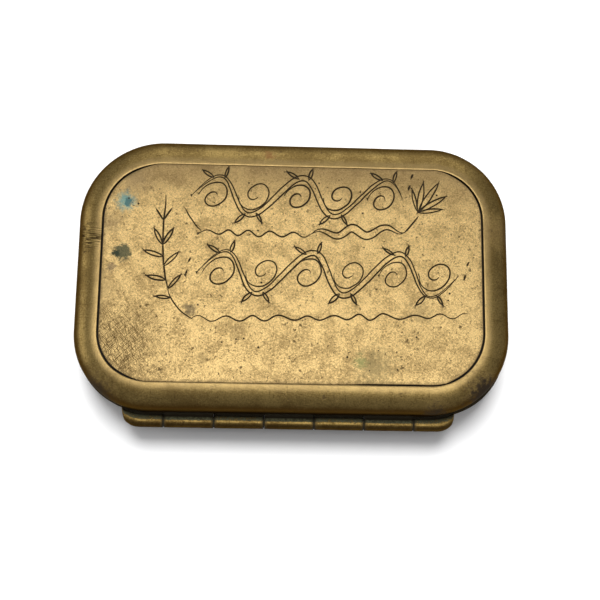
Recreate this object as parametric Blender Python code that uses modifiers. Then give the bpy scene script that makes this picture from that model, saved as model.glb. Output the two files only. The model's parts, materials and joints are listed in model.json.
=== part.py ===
# Pocket needle case: a shallow brass box with rolled rims, let-in top and bottom plates,
# a seven-knuckle hinge along its back edge and a flannel needle pad in the base.
# Metres, +Z up.  The case lies closed on its base, the hinge runs along X at -Y.

import math

import bmesh
import bpy

MM = 0.001

# Overall form
CASE_LENGTH = 82.5 * MM
CASE_WIDTH = 52.2 * MM
BASE_DEPTH = 5.75 * MM
LID_DEPTH = 5.75 * MM
LIP_GAP = 0.3 * MM
HINGE_LEFT_CORNER = 14.6 * MM
HINGE_RIGHT_CORNER = 15.5 * MM
FRONT_RIGHT_CORNER = 14.9 * MM
FRONT_LEFT_CORNER = 16.1 * MM

# Rolled rims and the plates let into them
WALL = 0.8 * MM
RIM_REACH = 5.1 * MM
RIM_DROP = 3.1 * MM
PLATE_THICKNESS = 0.8 * MM
SEAM_GAP = 0.25 * MM

# Inner bezel that the lid closes over
BEZEL_THICKNESS = 0.5 * MM
BEZEL_UPSTAND = 1.6 * MM
BEZEL_CLEARANCE = 0.15 * MM

# Hinge
KNUCKLE_COUNT = 7
KNUCKLE_PITCH = 9.44 * MM
END_KNUCKLE_LENGTH = 8.0 * MM
KNUCKLE_RADIUS = 1.2 * MM
KNUCKLE_SLIT = 0.3 * MM
HINGE_STANDOFF = 0.48 * MM
HINGE_SHIFT_X = -0.4 * MM
END_TAPER_LENGTH = 3.6 * MM
PIN_RADIUS = 0.6 * MM
PIN_CLEARANCE = 0.06 * MM
PIN_END_COVER = 0.4 * MM
PIN_END_CLEARANCE = 0.2 * MM
FOOT_HEIGHT = 0.75 * MM
SOLDER_GAP = 0.1 * MM

# Needle pad
PAD_CLEARANCE = 0.9 * MM
CARD_THICKNESS = 0.5 * MM
PAD_THICKNESS = 1.9 * MM
PAD_EDGE_RADIUS = 0.5 * MM
PAD_GAP = 0.2 * MM

# Facets
CORNER_STEPS = 12
ROLL_STEPS = 8
ROUND_SIDES = 32

# Derived places
BASE_LIP_Z = BASE_DEPTH
LID_LIP_Z = BASE_DEPTH + LIP_GAP
CASE_HEIGHT = LID_LIP_Z + LID_DEPTH
AXIS_Y = -CASE_WIDTH / 2 - HINGE_STANDOFF - KNUCKLE_RADIUS
AXIS_Z = BASE_LIP_Z + LIP_GAP / 2
HINGE_LENGTH = (KNUCKLE_COUNT - 2) * KNUCKLE_PITCH + 2 * END_KNUCKLE_LENGTH
HINGE_LEFT = HINGE_SHIFT_X - HINGE_LENGTH / 2
HINGE_RIGHT = HINGE_LEFT + HINGE_LENGTH
PIN_LEFT = HINGE_LEFT + END_TAPER_LENGTH + PIN_END_COVER
PIN_RIGHT = HINGE_RIGHT - END_TAPER_LENGTH - PIN_END_COVER
CARD_Z = PLATE_THICKNESS + PAD_GAP
PAD_Z = CARD_Z + CARD_THICKNESS + PAD_GAP


def clear_scene():
    for item in list(bpy.data.objects):
        bpy.data.objects.remove(item, do_unlink=True)


def make_collection(name):
    collection = bpy.data.collections.new(name)
    bpy.context.scene.collection.children.link(collection)
    return collection


def make_material(name, colour, roughness, metallic):
    material = bpy.data.materials.new(name)
    material.use_nodes = True
    shader = material.node_tree.nodes["Principled BSDF"]
    shader.inputs["Base Color"].default_value = (*colour, 1.0)
    shader.inputs["Roughness"].default_value = roughness
    shader.inputs["Metallic"].default_value = metallic
    return material


def rounded_outline(inset):
    """Corner arcs of the case's plan, counter-clockwise, moved in by inset."""
    half_length = CASE_LENGTH / 2
    half_width = CASE_WIDTH / 2
    corners = (
        (half_length, -half_width, HINGE_RIGHT_CORNER, -90),
        (half_length, half_width, FRONT_RIGHT_CORNER, 0),
        (-half_length, half_width, FRONT_LEFT_CORNER, 90),
        (-half_length, -half_width, HINGE_LEFT_CORNER, 180),
    )
    points = []
    for corner_x, corner_y, radius, start in corners:
        centre_x = corner_x - math.copysign(radius, corner_x)
        centre_y = corner_y - math.copysign(radius, corner_y)
        for step in range(CORNER_STEPS + 1):
            angle = math.radians(start + 90 * step / CORNER_STEPS)
            points.append((centre_x + (radius - inset) * math.cos(angle),
                           centre_y + (radius - inset) * math.sin(angle)))
    return points


def poly_curve(name, points, collection):
    """A closed flat curve through the points."""
    curve = bpy.data.curves.new(name, "CURVE")
    curve.dimensions = "2D"
    curve.fill_mode = "NONE"
    spline = curve.splines.new("POLY")
    spline.points.add(len(points) - 1)
    for target, (x, y) in zip(spline.points, points):
        target.co = (x, y, 0.0, 1.0)
    spline.use_cyclic_u = True
    item = bpy.data.objects.new(name, curve)
    collection.objects.link(item)
    return item


def curve_to_mesh(curve_object, material, collection):
    """Replaces a curve object by the closed mesh that it draws."""
    name = curve_object.name
    curve = curve_object.data
    curve_object.name = name + "_curve"
    bpy.context.view_layer.update()
    graph = bpy.context.evaluated_depsgraph_get()
    mesh = bpy.data.meshes.new_from_object(curve_object.evaluated_get(graph))
    shell = bmesh.new()
    shell.from_mesh(mesh)
    bmesh.ops.remove_doubles(shell, verts=shell.verts, dist=0.001 * MM)
    bmesh.ops.recalc_face_normals(shell, faces=shell.faces)
    shell.to_mesh(mesh)
    shell.free()
    mesh.name = name
    mesh.materials.clear()
    if material:
        mesh.materials.append(material)
    item = bpy.data.objects.new(name, mesh)
    item.matrix_world = curve_object.matrix_world.copy()
    collection.objects.link(item)
    bpy.data.objects.remove(curve_object, do_unlink=True)
    bpy.data.curves.remove(curve)
    return item


def smooth_rounds(item, angle=35):
    item.data.shade_smooth()
    item.data.set_sharp_from_angle(angle=math.radians(angle))


def sweep_ring(name, profile, material, collection, guides):
    """Sweeps a closed section (inset, height) round the plan of the case."""
    section = poly_curve(name + "_section", profile, guides)
    hide_guide(section)
    ring = poly_curve(name, rounded_outline(0.0), collection)
    ring.data.bevel_mode = "OBJECT"
    ring.data.bevel_object = section
    item = curve_to_mesh(ring, material, collection)
    smooth_rounds(item)
    return item


def extrude_plan(name, points, bottom, top, material, collection):
    """A flat plate with the given plan between two heights."""
    plate = poly_curve(name, points, collection)
    plate.data.fill_mode = "BOTH"
    plate.data.extrude = (top - bottom) / 2
    plate.location.z = (top + bottom) / 2
    return curve_to_mesh(plate, material, collection)


def hide_guide(item):
    item.hide_render = True
    item.display_type = "WIRE"


def boolean(item, cutter, operation):
    modifier = item.modifiers.new(cutter.name, "BOOLEAN")
    modifier.operation = operation
    modifier.solver = "EXACT"
    modifier.object = cutter


def bar_along_x(name, radius, start, end, collection, material=None):
    """A round bar on the hinge axis."""
    bar = bmesh.new()
    bmesh.ops.create_cone(bar, cap_ends=True, segments=ROUND_SIDES, radius1=radius, radius2=radius,
                          depth=end - start)
    mesh = bpy.data.meshes.new(name)
    bar.to_mesh(mesh)
    bar.free()
    if material:
        mesh.materials.append(material)
    item = bpy.data.objects.new(name, mesh)
    item.location = ((start + end) / 2, AXIS_Y, AXIS_Z)
    item.rotation_euler = (0.0, math.radians(90), 0.0)
    collection.objects.link(item)
    return item


def block(name, low, high, collection):
    """A rectangular block between two opposite corners."""
    box = bmesh.new()
    bmesh.ops.create_cube(box, size=1.0)
    size = [b - a for a, b in zip(low, high)]
    bmesh.ops.scale(box, vec=size, verts=box.verts)
    mesh = bpy.data.meshes.new(name)
    box.to_mesh(mesh)
    box.free()
    item = bpy.data.objects.new(name, mesh)
    item.location = [(a + b) / 2 for a, b in zip(low, high)]
    collection.objects.link(item)
    return item


def rim_section(depth):
    """Rolled rim as (inset, distance below the plate's face), outside first."""
    points = []
    for step in range(ROLL_STEPS + 1):
        angle = math.radians(90 * step / ROLL_STEPS)
        points.append((RIM_REACH * (1 - math.sin(angle)), RIM_DROP * (1 - math.cos(angle))))
    points.append((0.0, depth))
    points.append((WALL, depth))
    for step in range(ROLL_STEPS, -1, -1):
        angle = math.radians(90 * step / ROLL_STEPS)
        points.append((RIM_REACH - (RIM_REACH - WALL) * math.sin(angle),
                       RIM_DROP - (RIM_DROP - WALL) * math.cos(angle)))
    return points


def make_base_rim(material, collection, guides):
    section = [(inset, drop) for inset, drop in rim_section(BASE_DEPTH)]
    return sweep_ring("base_rim", section, material, collection, guides)


def make_lid_rim(material, collection, guides):
    section = [(inset, CASE_HEIGHT - drop) for inset, drop in rim_section(LID_DEPTH)]
    return sweep_ring("lid_rim", section, material, collection, guides)


def make_plate(name, bottom, material, collection):
    plan = rounded_outline(RIM_REACH + SEAM_GAP)
    return extrude_plan(name, plan, bottom, bottom + PLATE_THICKNESS, material, collection)


def make_bezel(material, collection, guides):
    outside = WALL + BEZEL_CLEARANCE
    inside = outside + BEZEL_THICKNESS
    section = [(outside, RIM_DROP), (inside, RIM_DROP),
               (inside, BASE_LIP_Z + BEZEL_UPSTAND), (outside, BASE_LIP_Z + BEZEL_UPSTAND)]
    return sweep_ring("base_bezel", section, material, collection, guides)


def knuckle_span(index):
    """The X range of a knuckle, with half a slit left at each joint with a neighbour."""
    start = HINGE_LEFT
    if index > 0:
        start += END_KNUCKLE_LENGTH + (index - 1) * KNUCKLE_PITCH
    end_piece = index in (0, KNUCKLE_COUNT - 1)
    end = start + (END_KNUCKLE_LENGTH if end_piece else KNUCKLE_PITCH)
    if index > 0:
        start += KNUCKLE_SLIT / 2
    if index < KNUCKLE_COUNT - 1:
        end -= KNUCKLE_SLIT / 2
    return start, end


def hinge_plan():
    """Plan of the filed hinge barrel: straight outside, rounded back to the case at both ends."""
    outer = AXIS_Y - KNUCKLE_RADIUS - SOLDER_GAP
    inner = -CASE_WIDTH / 2
    points = [(HINGE_LEFT, inner + WALL + RIM_REACH)]
    for step in range(ROLL_STEPS + 1):
        angle = math.radians(90 * step / ROLL_STEPS)
        points.append((HINGE_LEFT + END_TAPER_LENGTH * (1 - math.cos(angle)),
                       inner + (outer - inner) * math.sin(angle)))
    for step in range(ROLL_STEPS, -1, -1):
        angle = math.radians(90 * step / ROLL_STEPS)
        points.append((HINGE_RIGHT - END_TAPER_LENGTH * (1 - math.cos(angle)),
                       inner + (outer - inner) * math.sin(angle)))
    points.append((HINGE_RIGHT, inner + WALL + RIM_REACH))
    return points


def make_end_cutters(guides):
    """The filed plan that the end knuckles keep to, and the case wall that they stop at."""
    low = BASE_LIP_Z - 2 * KNUCKLE_RADIUS
    high = LID_LIP_Z + 2 * KNUCKLE_RADIUS
    filed = extrude_plan("hinge_filed_plan", hinge_plan(), low, high, None, guides)
    wall = extrude_plan("hinge_wall_clearance", rounded_outline(-SOLDER_GAP), low, high, None, guides)
    hide_guide(filed)
    hide_guide(wall)
    return filed, wall


def make_knuckle(index, material, collection, guides, end_cutters):
    """A length of tube with the foot that is soldered to the lid or to the base."""
    name = f"hinge_knuckle_{index + 1}"
    start, end = knuckle_span(index)
    first = index == 0
    last = index == KNUCKLE_COUNT - 1
    knuckle = bar_along_x(name, KNUCKLE_RADIUS, start, end, collection, material)

    side = 1 if fixed_to_lid(index) else -1
    near = AXIS_Z + side * LIP_GAP / 2
    far = near + side * FOOT_HEIGHT
    reach = RIM_REACH if first or last else -SOLDER_GAP
    foot = block(name + "_foot", (start, AXIS_Y, min(near, far)),
                 (end, -CASE_WIDTH / 2 + reach, max(near, far)), guides)
    hide_guide(foot)
    boolean(knuckle, foot, "UNION")
    if first or last:
        filed, wall = end_cutters
        boolean(knuckle, wall, "DIFFERENCE")
        boolean(knuckle, filed, "INTERSECT")

    overrun = WALL
    bore_start = PIN_LEFT - PIN_END_CLEARANCE if first else start - overrun
    bore_end = PIN_RIGHT + PIN_END_CLEARANCE if last else end + overrun
    bore = bar_along_x(name + "_bore", PIN_RADIUS + PIN_CLEARANCE, bore_start, bore_end, guides)
    hide_guide(bore)
    boolean(knuckle, bore, "DIFFERENCE")
    return knuckle


def fixed_to_lid(index):
    return index % 2 == 1


def make_pin(material, collection):
    pin = bar_along_x("hinge_pin", PIN_RADIUS, PIN_LEFT, PIN_RIGHT, collection, material)
    smooth_rounds(pin)
    return pin


def pad_plan():
    """Plan of the card and pad: clear of the rolled rim's inside at the card's height."""
    rise = math.acos((RIM_DROP - CARD_Z) / (RIM_DROP - WALL))
    rim_inset = RIM_REACH - (RIM_REACH - WALL) * math.sin(rise)
    return rounded_outline(rim_inset + PAD_CLEARANCE)


def make_card(material, collection):
    return extrude_plan("pad_card", pad_plan(), CARD_Z, CARD_Z + CARD_THICKNESS, material, collection)


def make_pad(material, collection):
    """The flannel needle pad, with softened edges."""
    pad = extrude_plan("needle_pad", pad_plan(), PAD_Z, PAD_Z + PAD_THICKNESS, material, collection)
    edge = pad.modifiers.new("soft_edge", "BEVEL")
    edge.width = PAD_EDGE_RADIUS
    edge.segments = 2
    edge.limit_method = "ANGLE"
    return pad


def hang_on_axis(pieces, collection):
    """Parents the moving pieces to an empty on the hinge axis."""
    axis = bpy.data.objects.new("lid_hinge_axis", None)
    axis.empty_display_size = 5 * MM
    axis.location = (0.0, AXIS_Y, AXIS_Z)
    collection.objects.link(axis)
    bpy.context.view_layer.update()
    for piece in pieces:
        piece.parent = axis
        piece.matrix_parent_inverse = axis.matrix_world.inverted()


def main():
    clear_scene()
    collection = make_collection("needle_case")
    guides = make_collection("guides_and_cutters")

    rim_brass = make_material("rim_brass", (0.40, 0.29, 0.11), 0.42, 1.0)
    plate_brass = make_material("plate_brass", (0.62, 0.46, 0.20), 0.38, 1.0)
    hinge_brass = make_material("hinge_brass", (0.45, 0.33, 0.13), 0.40, 1.0)
    pin_brass = make_material("pin_brass", (0.30, 0.22, 0.10), 0.45, 1.0)
    card = make_material("card", (0.55, 0.47, 0.34), 0.85, 0.0)
    flannel = make_material("flannel", (0.62, 0.55, 0.43), 0.95, 0.0)

    make_base_rim(rim_brass, collection, guides)
    make_plate("base_plate", 0.0, plate_brass, collection)
    make_bezel(rim_brass, collection, guides)
    make_card(card, collection)
    make_pad(flannel, collection)
    make_pin(pin_brass, collection)
    end_cutters = make_end_cutters(guides)
    knuckles = [make_knuckle(index, hinge_brass, collection, guides, end_cutters)
                for index in range(KNUCKLE_COUNT)]

    lid_rim = make_lid_rim(rim_brass, collection, guides)
    lid_plate = make_plate("lid_plate", CASE_HEIGHT - PLATE_THICKNESS, plate_brass, collection)
    lid_knuckles = [piece for index, piece in enumerate(knuckles) if fixed_to_lid(index)]
    hang_on_axis([lid_rim, lid_plate] + lid_knuckles, collection)


main()
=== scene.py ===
# Looks of the brass needle case: engraved let-in lid plate, rolled rims, seven-knuckle hinge,
# flannel pad. Lengths here are in millimetres and are turned into metres where a mesh is made.
import json
import math
import random

import bmesh
import bpy
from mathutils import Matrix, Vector, noise
from mathutils.geometry import delaunay_2d_cdt
from mathutils.kdtree import KDTree


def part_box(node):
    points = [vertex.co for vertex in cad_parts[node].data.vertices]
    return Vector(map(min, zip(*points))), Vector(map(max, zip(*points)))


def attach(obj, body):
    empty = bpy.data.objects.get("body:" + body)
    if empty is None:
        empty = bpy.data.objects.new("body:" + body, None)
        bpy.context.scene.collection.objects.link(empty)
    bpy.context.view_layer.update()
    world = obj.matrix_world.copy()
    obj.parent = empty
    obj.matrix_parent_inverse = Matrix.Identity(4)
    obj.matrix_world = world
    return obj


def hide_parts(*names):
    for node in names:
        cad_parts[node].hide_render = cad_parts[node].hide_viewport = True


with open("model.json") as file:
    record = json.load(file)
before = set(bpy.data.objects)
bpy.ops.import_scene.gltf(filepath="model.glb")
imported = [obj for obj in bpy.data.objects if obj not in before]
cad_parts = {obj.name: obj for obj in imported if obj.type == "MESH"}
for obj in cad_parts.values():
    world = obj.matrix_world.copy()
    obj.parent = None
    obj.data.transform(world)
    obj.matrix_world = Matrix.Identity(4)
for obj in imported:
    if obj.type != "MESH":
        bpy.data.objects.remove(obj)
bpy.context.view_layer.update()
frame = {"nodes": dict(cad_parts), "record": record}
mm = 0.001

lidLow, lidHigh = [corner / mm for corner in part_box("lid_rim")]
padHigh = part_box("needle_pad")[1] / mm
plateLow, plateHigh = [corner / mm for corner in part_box("lid_plate")]
floorPlateLow, floorPlateHigh = [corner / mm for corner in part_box("base_plate")]
bezelLow, bezelHigh = [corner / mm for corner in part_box("base_bezel")]
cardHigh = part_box("pad_card")[1] / mm
hingeJoint = frame["record"]["behaviour"]["joints"][0]
hingeY = hingeJoint["pos_m"][1] / mm
hingeZ = hingeJoint["pos_m"][2] / mm
top = lidHigh.z
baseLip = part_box("base_rim")[1].z / mm
lidLip = lidLow.z

# plan of the case, shared by every ring and plate
case = {
    "halfLength": lidHigh.x,
    "halfWidth": lidHigh.y,
    "corners": {"hingeLeft": 14.6, "hingeRight": 15.5, "frontRight": 14.9, "frontLeft": 16.1},
    "baseCorners": {"hingeLeft": 13.9, "hingeRight": 13.9, "frontRight": 14.9, "frontLeft": 16.1},
    "wall": 0.8,
    "rimReach": 5.1,
    "rimDrop": 3.1,
    "leftReach": 4.72,       # the rim is a little narrower at its left end
    "arcSteps": 30,
    "straightStep": 1.2,
}


# camera, lights, floor
cameraSet = {
    "location": (-4.79, -39.72, 194.0),
    "turn": (10.718, -2.035, 0.803),
    "lens": 59.26,
    "sensor": 36.0,
}
lightSet = {
    # name: place, aimed at, width, height, watts, seen in the metal
    "overhead": ((10, 20, 620), (0, -5, 0), 600, 270, 0.87, True),
    "front": ((60, 620, 420), (0, 0, 0), 700, 420, 0.85, True),
    "left": ((-620, 60, 260), (0, 0, 5), 500, 300, 0.5, True),
}
windowLight = {"from": (-30, 405, 640), "strength": 4.1, "spread": 36}
floorSet = {"size": 4000, "colour": (0.88, 0.88, 0.88), "inReflections": (0.27, 0.26, 0.24)}
worldSet = {"seen": (1.0, 1.0, 1.0), "light": (0.24, 0.24, 0.245)}


def placeCamera():
    data = bpy.data.cameras.new("camera")
    data.lens = cameraSet["lens"]
    data.sensor_width = cameraSet["sensor"]
    data.dof.use_dof = False
    data.clip_start = 0.01
    data.clip_end = 20
    camera = bpy.data.objects.new("camera", data)
    camera.location = Vector(cameraSet["location"]) * mm
    camera.rotation_euler = [math.radians(angle) for angle in cameraSet["turn"]]
    bpy.context.scene.collection.objects.link(camera)
    bpy.context.scene.camera = camera


def placeLights():
    for name, (place, target, width, height, watts, inMetal) in lightSet.items():
        data = bpy.data.lights.new(name, "AREA")
        data.shape = "RECTANGLE"
        data.size = width * mm
        data.size_y = height * mm
        data.energy = watts
        lamp = bpy.data.objects.new(name, data)
        lamp.location = Vector(place) * mm
        lamp.rotation_euler = (Vector(place) - Vector(target)).to_track_quat("Z", "Y").to_euler()
        lamp.visible_glossy = inMetal
        bpy.context.scene.collection.objects.link(lamp)
    # the window light that throws the soft shadow
    data = bpy.data.lights.new("window", "SUN")
    data.energy = windowLight["strength"]
    data.angle = math.radians(windowLight["spread"])
    lamp = bpy.data.objects.new("window", data)
    lamp.rotation_euler = Vector(windowLight["from"]).to_track_quat("Z", "Y").to_euler()
    lamp.visible_glossy = False
    bpy.context.scene.collection.objects.link(lamp)


placeCamera()
placeLights()
bpy.context.scene.view_settings.view_transform = "Standard"
print("camera and lights placed")


# shared node work
def feed(tree, socket, value):
    # a link when value is a socket, else the socket's own number or colour
    if isinstance(value, bpy.types.NodeSocket):
        tree.links.new(value, socket)
    elif socket.type == "RGBA":
        socket.default_value = (*value, 1.0)
    else:
        socket.default_value = value


def addNode(tree, kind, inputs=None, **settings):
    node = tree.nodes.new("ShaderNode" + kind)
    for name, value in settings.items():
        setattr(node, name, value)
    for name, value in (inputs or {}).items():
        feed(tree, node.inputs[name], value)
    return node


def calc(tree, operation, *values, clamp=False):
    node = addNode(tree, "Math", operation=operation, use_clamp=clamp)
    for socket, value in zip(node.inputs, values):
        feed(tree, socket, value)
    return node.outputs[0]


def blendColour(tree, factor, low, high, how="MIX"):
    node = addNode(tree, "Mix", data_type="RGBA", blend_type=how)
    for index, value in ((0, factor), (6, low), (7, high)):
        feed(tree, node.inputs[index], value)
    return node.outputs[2]


def blendValue(tree, factor, low, high):
    node = addNode(tree, "Mix", data_type="FLOAT")
    for index, value in ((0, factor), (2, low), (3, high)):
        feed(tree, node.inputs[index], value)
    return node.outputs[0]


def ramp(tree, value, start, end, low=0.0, high=1.0):
    # smooth step from low to high as value goes from start to end
    node = addNode(tree, "MapRange", interpolation_type="SMOOTHSTEP")
    for socket, number in zip(node.inputs, (value, start, end, low, high)):
        feed(tree, socket, number)
    return node.outputs[0]


def cloud(tree, position, size, detail=3.0, roughness=0.55, distortion=0.0):
    # soft noise whose blotches are about size across
    scale = calc(tree, "DIVIDE", 1.0, size) if isinstance(size, bpy.types.NodeSocket) else 1.0 / size
    node = addNode(tree, "TexNoise", {"Vector": position, "Scale": scale, "Detail": detail,
                                      "Roughness": roughness, "Distortion": distortion})
    return node.outputs["Fac"]


def ragOf(tree, position, size, detail, roughness):
    # the same noise, running to either side of nothing
    return calc(tree, "SUBTRACT", cloud(tree, position, size, detail, roughness), 0.5)


def newGroup(name, inputs, outputs):
    # inputs: name to default value; outputs: name to kind
    kinds = {float: "NodeSocketFloat", tuple: "NodeSocketColor", Vector: "NodeSocketVector"}
    group = bpy.data.node_groups.new(name, "ShaderNodeTree")
    for label, value in inputs.items():
        socket = group.interface.new_socket(label, in_out="INPUT", socket_type=kinds[type(value)])
        socket.default_value = (*value, 1.0) if isinstance(value, tuple) else value
    for label, kind in outputs.items():
        group.interface.new_socket(label, in_out="OUTPUT", socket_type=kinds[kind])
    start = group.nodes.new("NodeGroupInput")
    end = group.nodes.new("NodeGroupOutput")
    return group, start.outputs, end.inputs


def useGroup(tree, group, inputs):
    node = tree.nodes.new("ShaderNodeGroup")
    node.node_tree = group
    for name, value in inputs.items():
        feed(tree, node.inputs[name], value)
    return node.outputs


def makeMottle():
    # two tones of metal in soft blotches, broken up finely, with a fine lighter and darker grain painted in
    # as glint
    group, given, out = newGroup("brassMottle", {
        "Position": Vector(), "Clean": (0.7, 0.5, 0.2), "Worn": (0.4, 0.28, 0.1),
        "Blotch": 6.0, "Grain": 0.4, "Balance": 0.5}, {"Color": tuple, "Worn Mask": float})
    blotch = cloud(group, given["Position"], given["Blotch"], 5.0, 0.68, 0.4)
    grain = ragOf(group, given["Position"], given["Grain"], 3.0, 0.7)
    both = calc(group, "ADD", blotch, calc(group, "MULTIPLY", grain, 0.9))
    low = calc(group, "SUBTRACT", given["Balance"], 0.16)
    high = calc(group, "ADD", given["Balance"], 0.16)
    mask = ramp(group, both, low, high)
    toned = blendColour(group, mask, given["Clean"], given["Worn"])
    # painted glint: a fine grain that lightens and darkens the colour, standing in for sparkle on the metal
    paintedGlint = ramp(group, cloud(group, given["Position"], 0.24, 2.0, 0.6), 0.32, 0.68, 0.80, 1.13)
    shaded = addNode(group, "VectorMath", {0: toned}, operation="SCALE")
    feed(group, shaded.inputs["Scale"], paintedGlint)
    feed(group, out["Color"], shaded.outputs[0])
    feed(group, out["Worn Mask"], mask)
    return group


def makeSpecks():
    # small dark pits that gather in patches
    group, given, out = newGroup("pitSpecks", {
        "Position": Vector(), "Size": 0.4, "Share": 0.2, "Patch": 9.0}, {"Mask": float})
    scale = calc(group, "DIVIDE", 1.0, given["Size"])
    wobble = addNode(group, "TexNoise", {"Vector": given["Position"], "Scale": 2.2, "Detail": 2.0})
    moved = addNode(group, "VectorMath", {0: given["Position"], 1: wobble.outputs["Color"]}, operation="ADD")
    cells = addNode(group, "TexVoronoi", {"Vector": moved.outputs[0], "Scale": scale, "Randomness": 1.0})
    spread = addNode(group, "SeparateColor", {"Color": cells.outputs["Color"]})
    width = calc(group, "MULTIPLY_ADD", spread.outputs["Green"], 0.28, 0.18)
    dot = ramp(group, cells.outputs["Distance"], width, calc(group, "MULTIPLY", width, 0.35))
    patch = ragOf(group, given["Position"], given["Patch"], 3.0, 0.6)
    chance = calc(group, "ADD", spread.outputs["Red"], patch)
    chosen = calc(group, "GREATER_THAN", chance, calc(group, "SUBTRACT", 1.0, given["Share"]))
    feed(group, out["Mask"], calc(group, "MULTIPLY", dot, chosen))
    return group


def makeHatch():
    # fine parallel rub marks at one angle
    group, given, out = newGroup("rubMarks", {
        "Position": Vector(), "Angle": 0.0, "Pitch": 0.3, "Length": 5.0, "Threshold": 0.6}, {"Mask": float})
    turned = addNode(group, "VectorRotate", {"Vector": given["Position"], "Angle": given["Angle"]},
                     rotation_type="Z_AXIS")
    parts = addNode(group, "SeparateXYZ", {0: turned.outputs[0]})
    long = calc(group, "DIVIDE", parts.outputs["X"], given["Length"])
    across = calc(group, "DIVIDE", parts.outputs["Y"], given["Pitch"])
    stretched = addNode(group, "CombineXYZ", {"X": long, "Y": across, "Z": parts.outputs["Z"]})
    lines = addNode(group, "TexNoise", {"Vector": stretched.outputs[0], "Scale": 1.0, "Detail": 1.5,
                                        "Roughness": 0.6})
    high = calc(group, "ADD", given["Threshold"], 0.09)
    feed(group, out["Mask"], ramp(group, lines.outputs["Fac"], given["Threshold"], high))
    return group


def makeSpot():
    # a ragged stain at one place
    group, given, out = newGroup("stainSpot", {
        "Position": Vector(), "Centre": Vector(), "Radius": 2.0, "Ragged": 0.5, "Softness": 0.5},
        {"Mask": float})
    away = addNode(group, "VectorMath", {0: given["Position"], 1: given["Centre"]}, operation="DISTANCE")
    share = calc(group, "DIVIDE", away.outputs["Value"], given["Radius"])
    rag = ragOf(group, given["Position"], 0.9, 4.0, 0.7)
    edge = calc(group, "MULTIPLY_ADD", rag, calc(group, "MULTIPLY", given["Ragged"], 3.0), share)
    feed(group, out["Mask"], ramp(group, edge, 1.0, calc(group, "SUBTRACT", 1.0, given["Softness"])))
    return group


def makeRubAndHighlight():
    # metal rubbed bright where an edge is marked, broken up along it; on the rim the same mask also lays a
    # painted highlight beside the seam
    group, given, out = newGroup("edgeRubAndHighlight", {"Position": Vector(), "Edge": 0.0, "Break": 0.5},
                                 {"Mask": float})
    chips = ragOf(group, given["Position"], 1.4, 4.0, 0.65)
    level = calc(group, "MULTIPLY_ADD", chips, given["Break"], given["Edge"])
    feed(group, out["Mask"], ramp(group, level, 0.15, 0.95))
    return group


def makeVerdigris():
    # dark grey-green crust
    group, given, out = newGroup("verdigris", {
        "Position": Vector(), "Amount": 0.0, "Dark": (0.026, 0.024, 0.013), "Light": (0.085, 0.085, 0.048)},
        {"Color": tuple, "Mask": float, "Height": float})
    fine = cloud(group, given["Position"], 0.5, 5.0, 0.7)
    toned = blendColour(group, ramp(group, fine, 0.35, 0.65), given["Dark"], given["Light"])
    feed(group, out["Color"], toned)
    level = calc(group, "MULTIPLY_ADD", calc(group, "SUBTRACT", fine, 0.5), 1.6, given["Amount"])
    mask = ramp(group, level, 0.35, 0.7)
    feed(group, out["Mask"], mask)
    feed(group, out["Height"], calc(group, "MULTIPLY", mask, fine))
    return group


mottleGroup = makeMottle()
specksGroup = makeSpecks()
hatchGroup = makeHatch()
spotGroup = makeSpot()
rubAndHighlightGroup = makeRubAndHighlight()
verdigrisGroup = makeVerdigris()
print("node groups built")


def startMaterial(name):
    # position is in millimetres, fixed to the piece
    material = bpy.data.materials.new(name)
    material.use_nodes = True
    tree = material.node_tree
    place = addNode(tree, "TexCoord")
    position = addNode(tree, "VectorMath", {0: place.outputs["Object"]}, operation="SCALE")
    position.inputs["Scale"].default_value = 1 / mm
    return material, tree, position.outputs[0], tree.nodes["Principled BSDF"]


def attributeOf(tree, name):
    return addNode(tree, "Attribute", attribute_name=name).outputs["Fac"]


def rubMarks(tree, position, angle, pitch, length, threshold):
    return useGroup(tree, hatchGroup, {"Position": position, "Angle": math.radians(angle), "Pitch": pitch,
                                       "Length": length, "Threshold": threshold})["Mask"]


def stainSpot(tree, position, centre, radius, ragged, softness):
    return useGroup(tree, spotGroup, {"Position": position, "Centre": Vector(centre), "Radius": radius,
                                      "Ragged": ragged, "Softness": softness})["Mask"]


def overlay(tree, surface, mask, colour, weight=None, rough=None, metal=None, height=None):
    # lays a stain, dirt or wear over what is there
    if weight is not None:
        mask = calc(tree, "MULTIPLY", mask, weight)
    surface["colour"] = blendColour(tree, mask, surface["colour"], colour)
    if rough is not None:
        surface["rough"] = blendValue(tree, mask, surface["rough"], rough)
    if metal is not None:
        surface["metal"] = blendValue(tree, mask, surface["metal"], metal)
    if height is not None:
        raised = calc(tree, "MULTIPLY", mask, height)
        surface["height"] = calc(tree, "ADD", surface["height"], raised)


def closeMaterial(tree, shader, surface, depth):
    # depth is the bump's full height in millimetres
    for name, key in (("Base Color", "colour"), ("Roughness", "rough"), ("Metallic", "metal")):
        feed(tree, shader.inputs[name], surface[key])
    if surface.get("edgeTint"):
        shader.inputs["Specular Tint"].default_value = (*surface["edgeTint"], 1.0)
    bump = addNode(tree, "Bump", {"Height": surface["height"], "Distance": depth * mm, "Strength": 1.0})
    feed(tree, shader.inputs["Normal"], bump.outputs["Normal"])


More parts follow.
